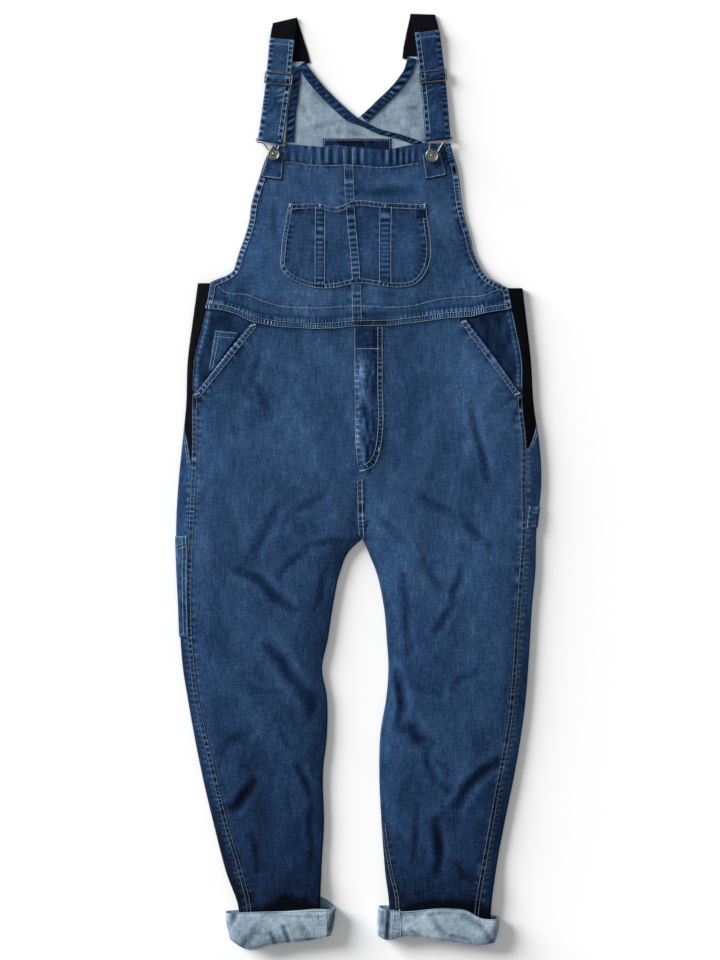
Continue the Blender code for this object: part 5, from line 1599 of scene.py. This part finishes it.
def cuff(side):
    """A rolled cuff, reverse side out, soft rims and shallow dents."""
    form = CUFFS[side]
    upper, rear, lower = [Curve(form[key]) for key in ("upper", "rear", "lower")]
    radius = CUFF_HEIGHT / 2
    round_end = shares(12)[1:-1]
    # Places round the flat tube, and depth and share of the height through its wall
    girths = [("top", t) for t in shares(70)] + [("right", t) for t in round_end]
    girths += [("bottom", t) for t in np.linspace(1.0, 0.0, 40)] + [("left", t) for t in round_end]
    section = [(0.0, t) for t in np.linspace(0.05, 0.95, 22)]
    section += [(0.5, 0.985), (1.5, 1.0), (3.5, 1.0), (4.6, 0.98), (5.0, 0.94)]
    section += [(5.0, t) for t in np.linspace(0.9, 0.1, 8)]
    section += [(5.0, 0.06), (4.6, 0.02), (3.5, 0.0), (1.5, 0.0), (0.5, 0.015)]
    grid = np.zeros((len(girths), len(section), 3))
    out = np.zeros((len(girths), 1, 2))
    for i, (where, t) in enumerate(girths):
        if where in ("top", "bottom"):
            across = (0.0, 1.0 if where == "top" else -1.0)
        else:
            across = ((1.0 if where == "right" else -1.0) * math.sin(math.pi * t),
                      (1.0 if where == "right" else -1.0) * math.cos(math.pi * t))
        out[i, 0] = across
        for j, (depth, down) in enumerate(section):
            left = lerp(*form["left"], down) + radius
            right = lerp(*form["right"], down) - radius
            if where in ("top", "bottom"):
                x = lerp(left, right, t)
            else:
                x = (right if where == "right" else left) + (radius - depth) * across[0]
            z = radius + (radius - depth) * across[1]
            behind = float(clamp((CUFF_HEIGHT - z) / CUFF_HEIGHT))
            y_upper = lerp(float(upper(x)), float(rear(x)), behind)
            grid[i, j] = (x, lerp(y_upper, float(lower(x)), down), z)
    x, y, z = np.moveaxis(grid.copy(), -1, 0)
    depth, down = [np.array(values)[None, :] + 0 * x for values in zip(*section)]
    raised, fold_shade = cuff_amount(side, x, y, down)
    amount = np.where((depth < 0.6) & (z > 6.0), raised, 0.0)
    grid[..., [0, 2]] += amount[..., None] * out
    # The tone is read where the face stands after the dents
    x = grid[..., 0]
    seed = CUFF_SEED[side]
    fade_and_shade = 0.585 + 0.12 * noise(x, y, 26.0, seed + 3) + 0.09 * noise(x, y, 7.0, seed + 4)
    # Dents and the rounded edges are painted darker and raised parts lighter, as shade and light; the folds
    # and the seam's groove add their painted shade
    fade_and_shade += 0.06 * amount + fold_shade
    turned = ease((x + 52.0) / 6.0) if side == "right" else ease((54.0 - x) / 6.0)
    # The turned flap beyond the seam is darker; painted shade along the lower edge, and a lighter line
    # along the upper rim
    fade_and_shade -= 0.14 * turned + 0.10 * ease((down - 0.88) / 0.12)
    fade_and_shade += 0.12 * hump(down - 0.06, 0.035)
    fade_and_shade = np.where(depth > 3.0, 0.30, fade_and_shade)
    rows, columns = grid.shape[:2]
    faces = grid_faces(rows, columns, wrap=True).tolist() + ring_faces((rows - 1) * columns, 0, columns)
    piece = add_mesh("cuff_roll_" + side, grid, faces, reverse, fade_and_shade)
    turn_outwards(piece)
    dress("cuff_" + side)

    def face(px, py):
        px = np.asarray(px, float)
        share = clamp((upper(px) - py) / (upper(px) - lower(px)))
        return CUFF_HEIGHT + cuff_amount(side, px, np.asarray(py, float), share)[0]

    stitch_rows(smooth_line(CUFF_SEAM[side], 3.0), (0.0, 10.0), face, above=0.4)


def side_stitches():
    """Rows of stitches along the side seams and the inseam, in darker thread."""
    for side, sign in SIGN.items():
        stitch_rows(SIDE_SEAM[side], (-sign * 1.4, -sign * 7.2), front_height)
    stitch_rows(INSEAM, (-2.2, 2.6), front_height)


def seam_stitches():
    """Rows of stitches along the seams of the fronts and the bib."""
    for side, sign in SIGN.items():
        stitch_rows(slant_line(side, 30, 2), (-sign * 1.8, -sign * 9.0), front_height)
        stitch_rows(bib_edge(side), (-sign * 1.8, -sign * 9.0), bib_height)
    stitch_rows(WAIST_SEAM, (1.5, 9.5), bib_height)
    stitch_line(UPPER_LINE, bib_height)
    stitch_line(HEM_BAND, lifted(bib_height, 0.5))
    stitch_rows(BIB_CENTRE_ROWS, (-6.8, 6.8), lambda x, y: bib_height(x, y) + 0.6 * ease((y - 504) / 6.0))
    stitch_line(FLY_OUTER, lifted(front_height, 0.5))
    on_fly = lifted(front_height, 0.9)
    stitch_line(FLY_INNER, on_fly)
    stitch_line([(-5, 212), (38, 212)], on_fly)
    placket_edge = [(-4.6, 244), (-4.5, 205), (-4.2, 150), (-3.7, 100), (-2.8, 58), (0.4, 26)]
    stitch_line(smooth_line(placket_edge), on_fly)
    stitch_rows(FRONT_CENTRE, (2.0, -5.0), front_height)
    for side, sign in SIGN.items():
        levels = np.linspace(GORE_TIP[side] + 40.0, GORE_TIP[side] - 2.0, 14)
        for inward in (1.5, 5.0):
            girths = back_edge(side, levels) - inward
            line = [(x_at(side, y, girth), y) for y, girth in zip(levels, girths)]
            stitch_line(line, fold_height(side))
        facing = beside_line(side_line(side, 272, 142), sign * -1.8)
        stitch_line(facing, lifted(top_height, -FACING_DROP))


def tack(x, y, angle, length, height):
    """A short dense bar of thread."""
    dx, dy = math.cos(angle), math.sin(angle)
    for shift in (-0.8, 0.0, 0.8):
        start = (x - dx * length / 2 - dy * shift, y - dy * length / 2 + dx * shift)
        end = (x + dx * length / 2 - dy * shift, y + dy * length / 2 + dx * shift)
        stitch_line([start, end], height, above=0.35, gap=0.0)


def tacks():
    """Bar tacks at the ends of the pockets, the fly and the dividers."""
    for side, sign in SIGN.items():
        (x_top, y_top), (x_low, y_low) = SLANT[side]
        tack(x_low - sign * 6.0, y_low + 2.0, 0.2, 9.0, front_height)
        tack(x_top - sign * 3.0, y_top - 5.0, 0.2, 9.0, front_height)
    tack(7.5, 17.0, 0.1, 9.0, lifted(front_height, 0.9))
    tack(34.0, 52.0, 1.4, 8.0, lifted(front_height, 0.9))
    for px in (-108.0, -60.5, 44.0, 107.0):
        tack(px, 441.0, 1.57, 6.0, lifted(top_height, 2.4))


# Light values: place, strength and spread in degrees
SUNS = {"key": ((-3.2, 1.9, 1.22), 7.3, 34.0), "overhead": ((0.3, -0.3, 4.2), 0.46, 50.0)}
WORLD_LIGHT = 0.25
FLOOR_SIZE = 6.0
FLOOR_Z = -0.0004
# The photo's scale, its size in pixels, and the pattern's origin in it
PIXEL = 1.6
PHOTO_SIZE = (720, 960)
PHOTO_ORIGIN = (357.75, 481.25)
CAMERA_DISTANCE = 5.0
SENSOR = 24.0


def stage():
    """Pale floor, soft light from the upper left and a camera straight above."""
    scene = bpy.context.scene
    mesh = bpy.data.meshes.new("floor")
    corners = [(x * FLOOR_SIZE, y * FLOOR_SIZE, FLOOR_Z) for x, y in ((-1, -1), (1, -1), (1, 1), (-1, 1))]
    mesh.from_pydata(corners, [], [(0, 1, 2, 3)])
    made, tree, shader = new_material("paper_floor", 0.95, specular=0.1)
    tone = noise_node(tree, (3.0, 3.0, 3.0), 2.0)
    paint(tree, shader, tone, ((0.0, (242, 242, 242)), (1.0, (244, 244, 244))))
    mesh.materials.append(made)
    floor = bpy.data.objects.new("floor", mesh)
    scene.collection.objects.link(floor)

    world = bpy.data.worlds.new("studio")
    world.use_nodes = True
    background = world.node_tree.nodes["Background"]
    background.inputs["Color"].default_value = (1.0, 1.0, 1.0, 1.0)
    background.inputs["Strength"].default_value = WORLD_LIGHT
    scene.world = world

    for name, (toward, strength, spread) in SUNS.items():
        light = bpy.data.lights.new(name, "SUN")
        light.energy = strength
        light.angle = math.radians(spread)
        lamp = bpy.data.objects.new(name, light)
        lamp.location = toward
        lamp.rotation_euler = Vector(toward).to_track_quat("Z", "Y").to_euler()
        scene.collection.objects.link(lamp)

    scene.view_settings.view_transform = "Standard"
    scene.view_settings.look = "None"
    scene.view_settings.exposure = 0.0

    camera_data = bpy.data.cameras.new("camera")
    camera_data.sensor_fit = "VERTICAL"
    camera_data.sensor_height = SENSOR
    camera_data.lens = SENSOR * CAMERA_DISTANCE / (PHOTO_SIZE[1] * PIXEL * MM)
    camera = bpy.data.objects.new("camera", camera_data)
    camera.location = ((PHOTO_SIZE[0] / 2 - PHOTO_ORIGIN[0]) * PIXEL * MM + SHIFT[0] * MM,
                       (PHOTO_ORIGIN[1] - PHOTO_SIZE[1] / 2) * PIXEL * MM + SHIFT[1] * MM,
                       CAMERA_DISTANCE + 0.010)
    scene.collection.objects.link(camera)
    scene.camera = camera


def main():
    for side in SIGN:
        cuff(side)
    make_stitches("cuff_stitching", thread_pale)
    side_stitches()
    make_stitches("side_stitching", thread_dim)
    for side in SIGN:
        front_leg(side)
        back_leg(side)
        gore(side)
        hip_facing(side)
        bib(side)
        strap(side)
        strap_elastic(side)
        slider(side)
        hook(side)
        button(side)
    fly()
    bib_pocket()
    small_patches()
    side_pieces()
    back_and_yokes()
    seam_stitches()
    tacks()
    make_stitches("stitching", thread)
    stage()


main()
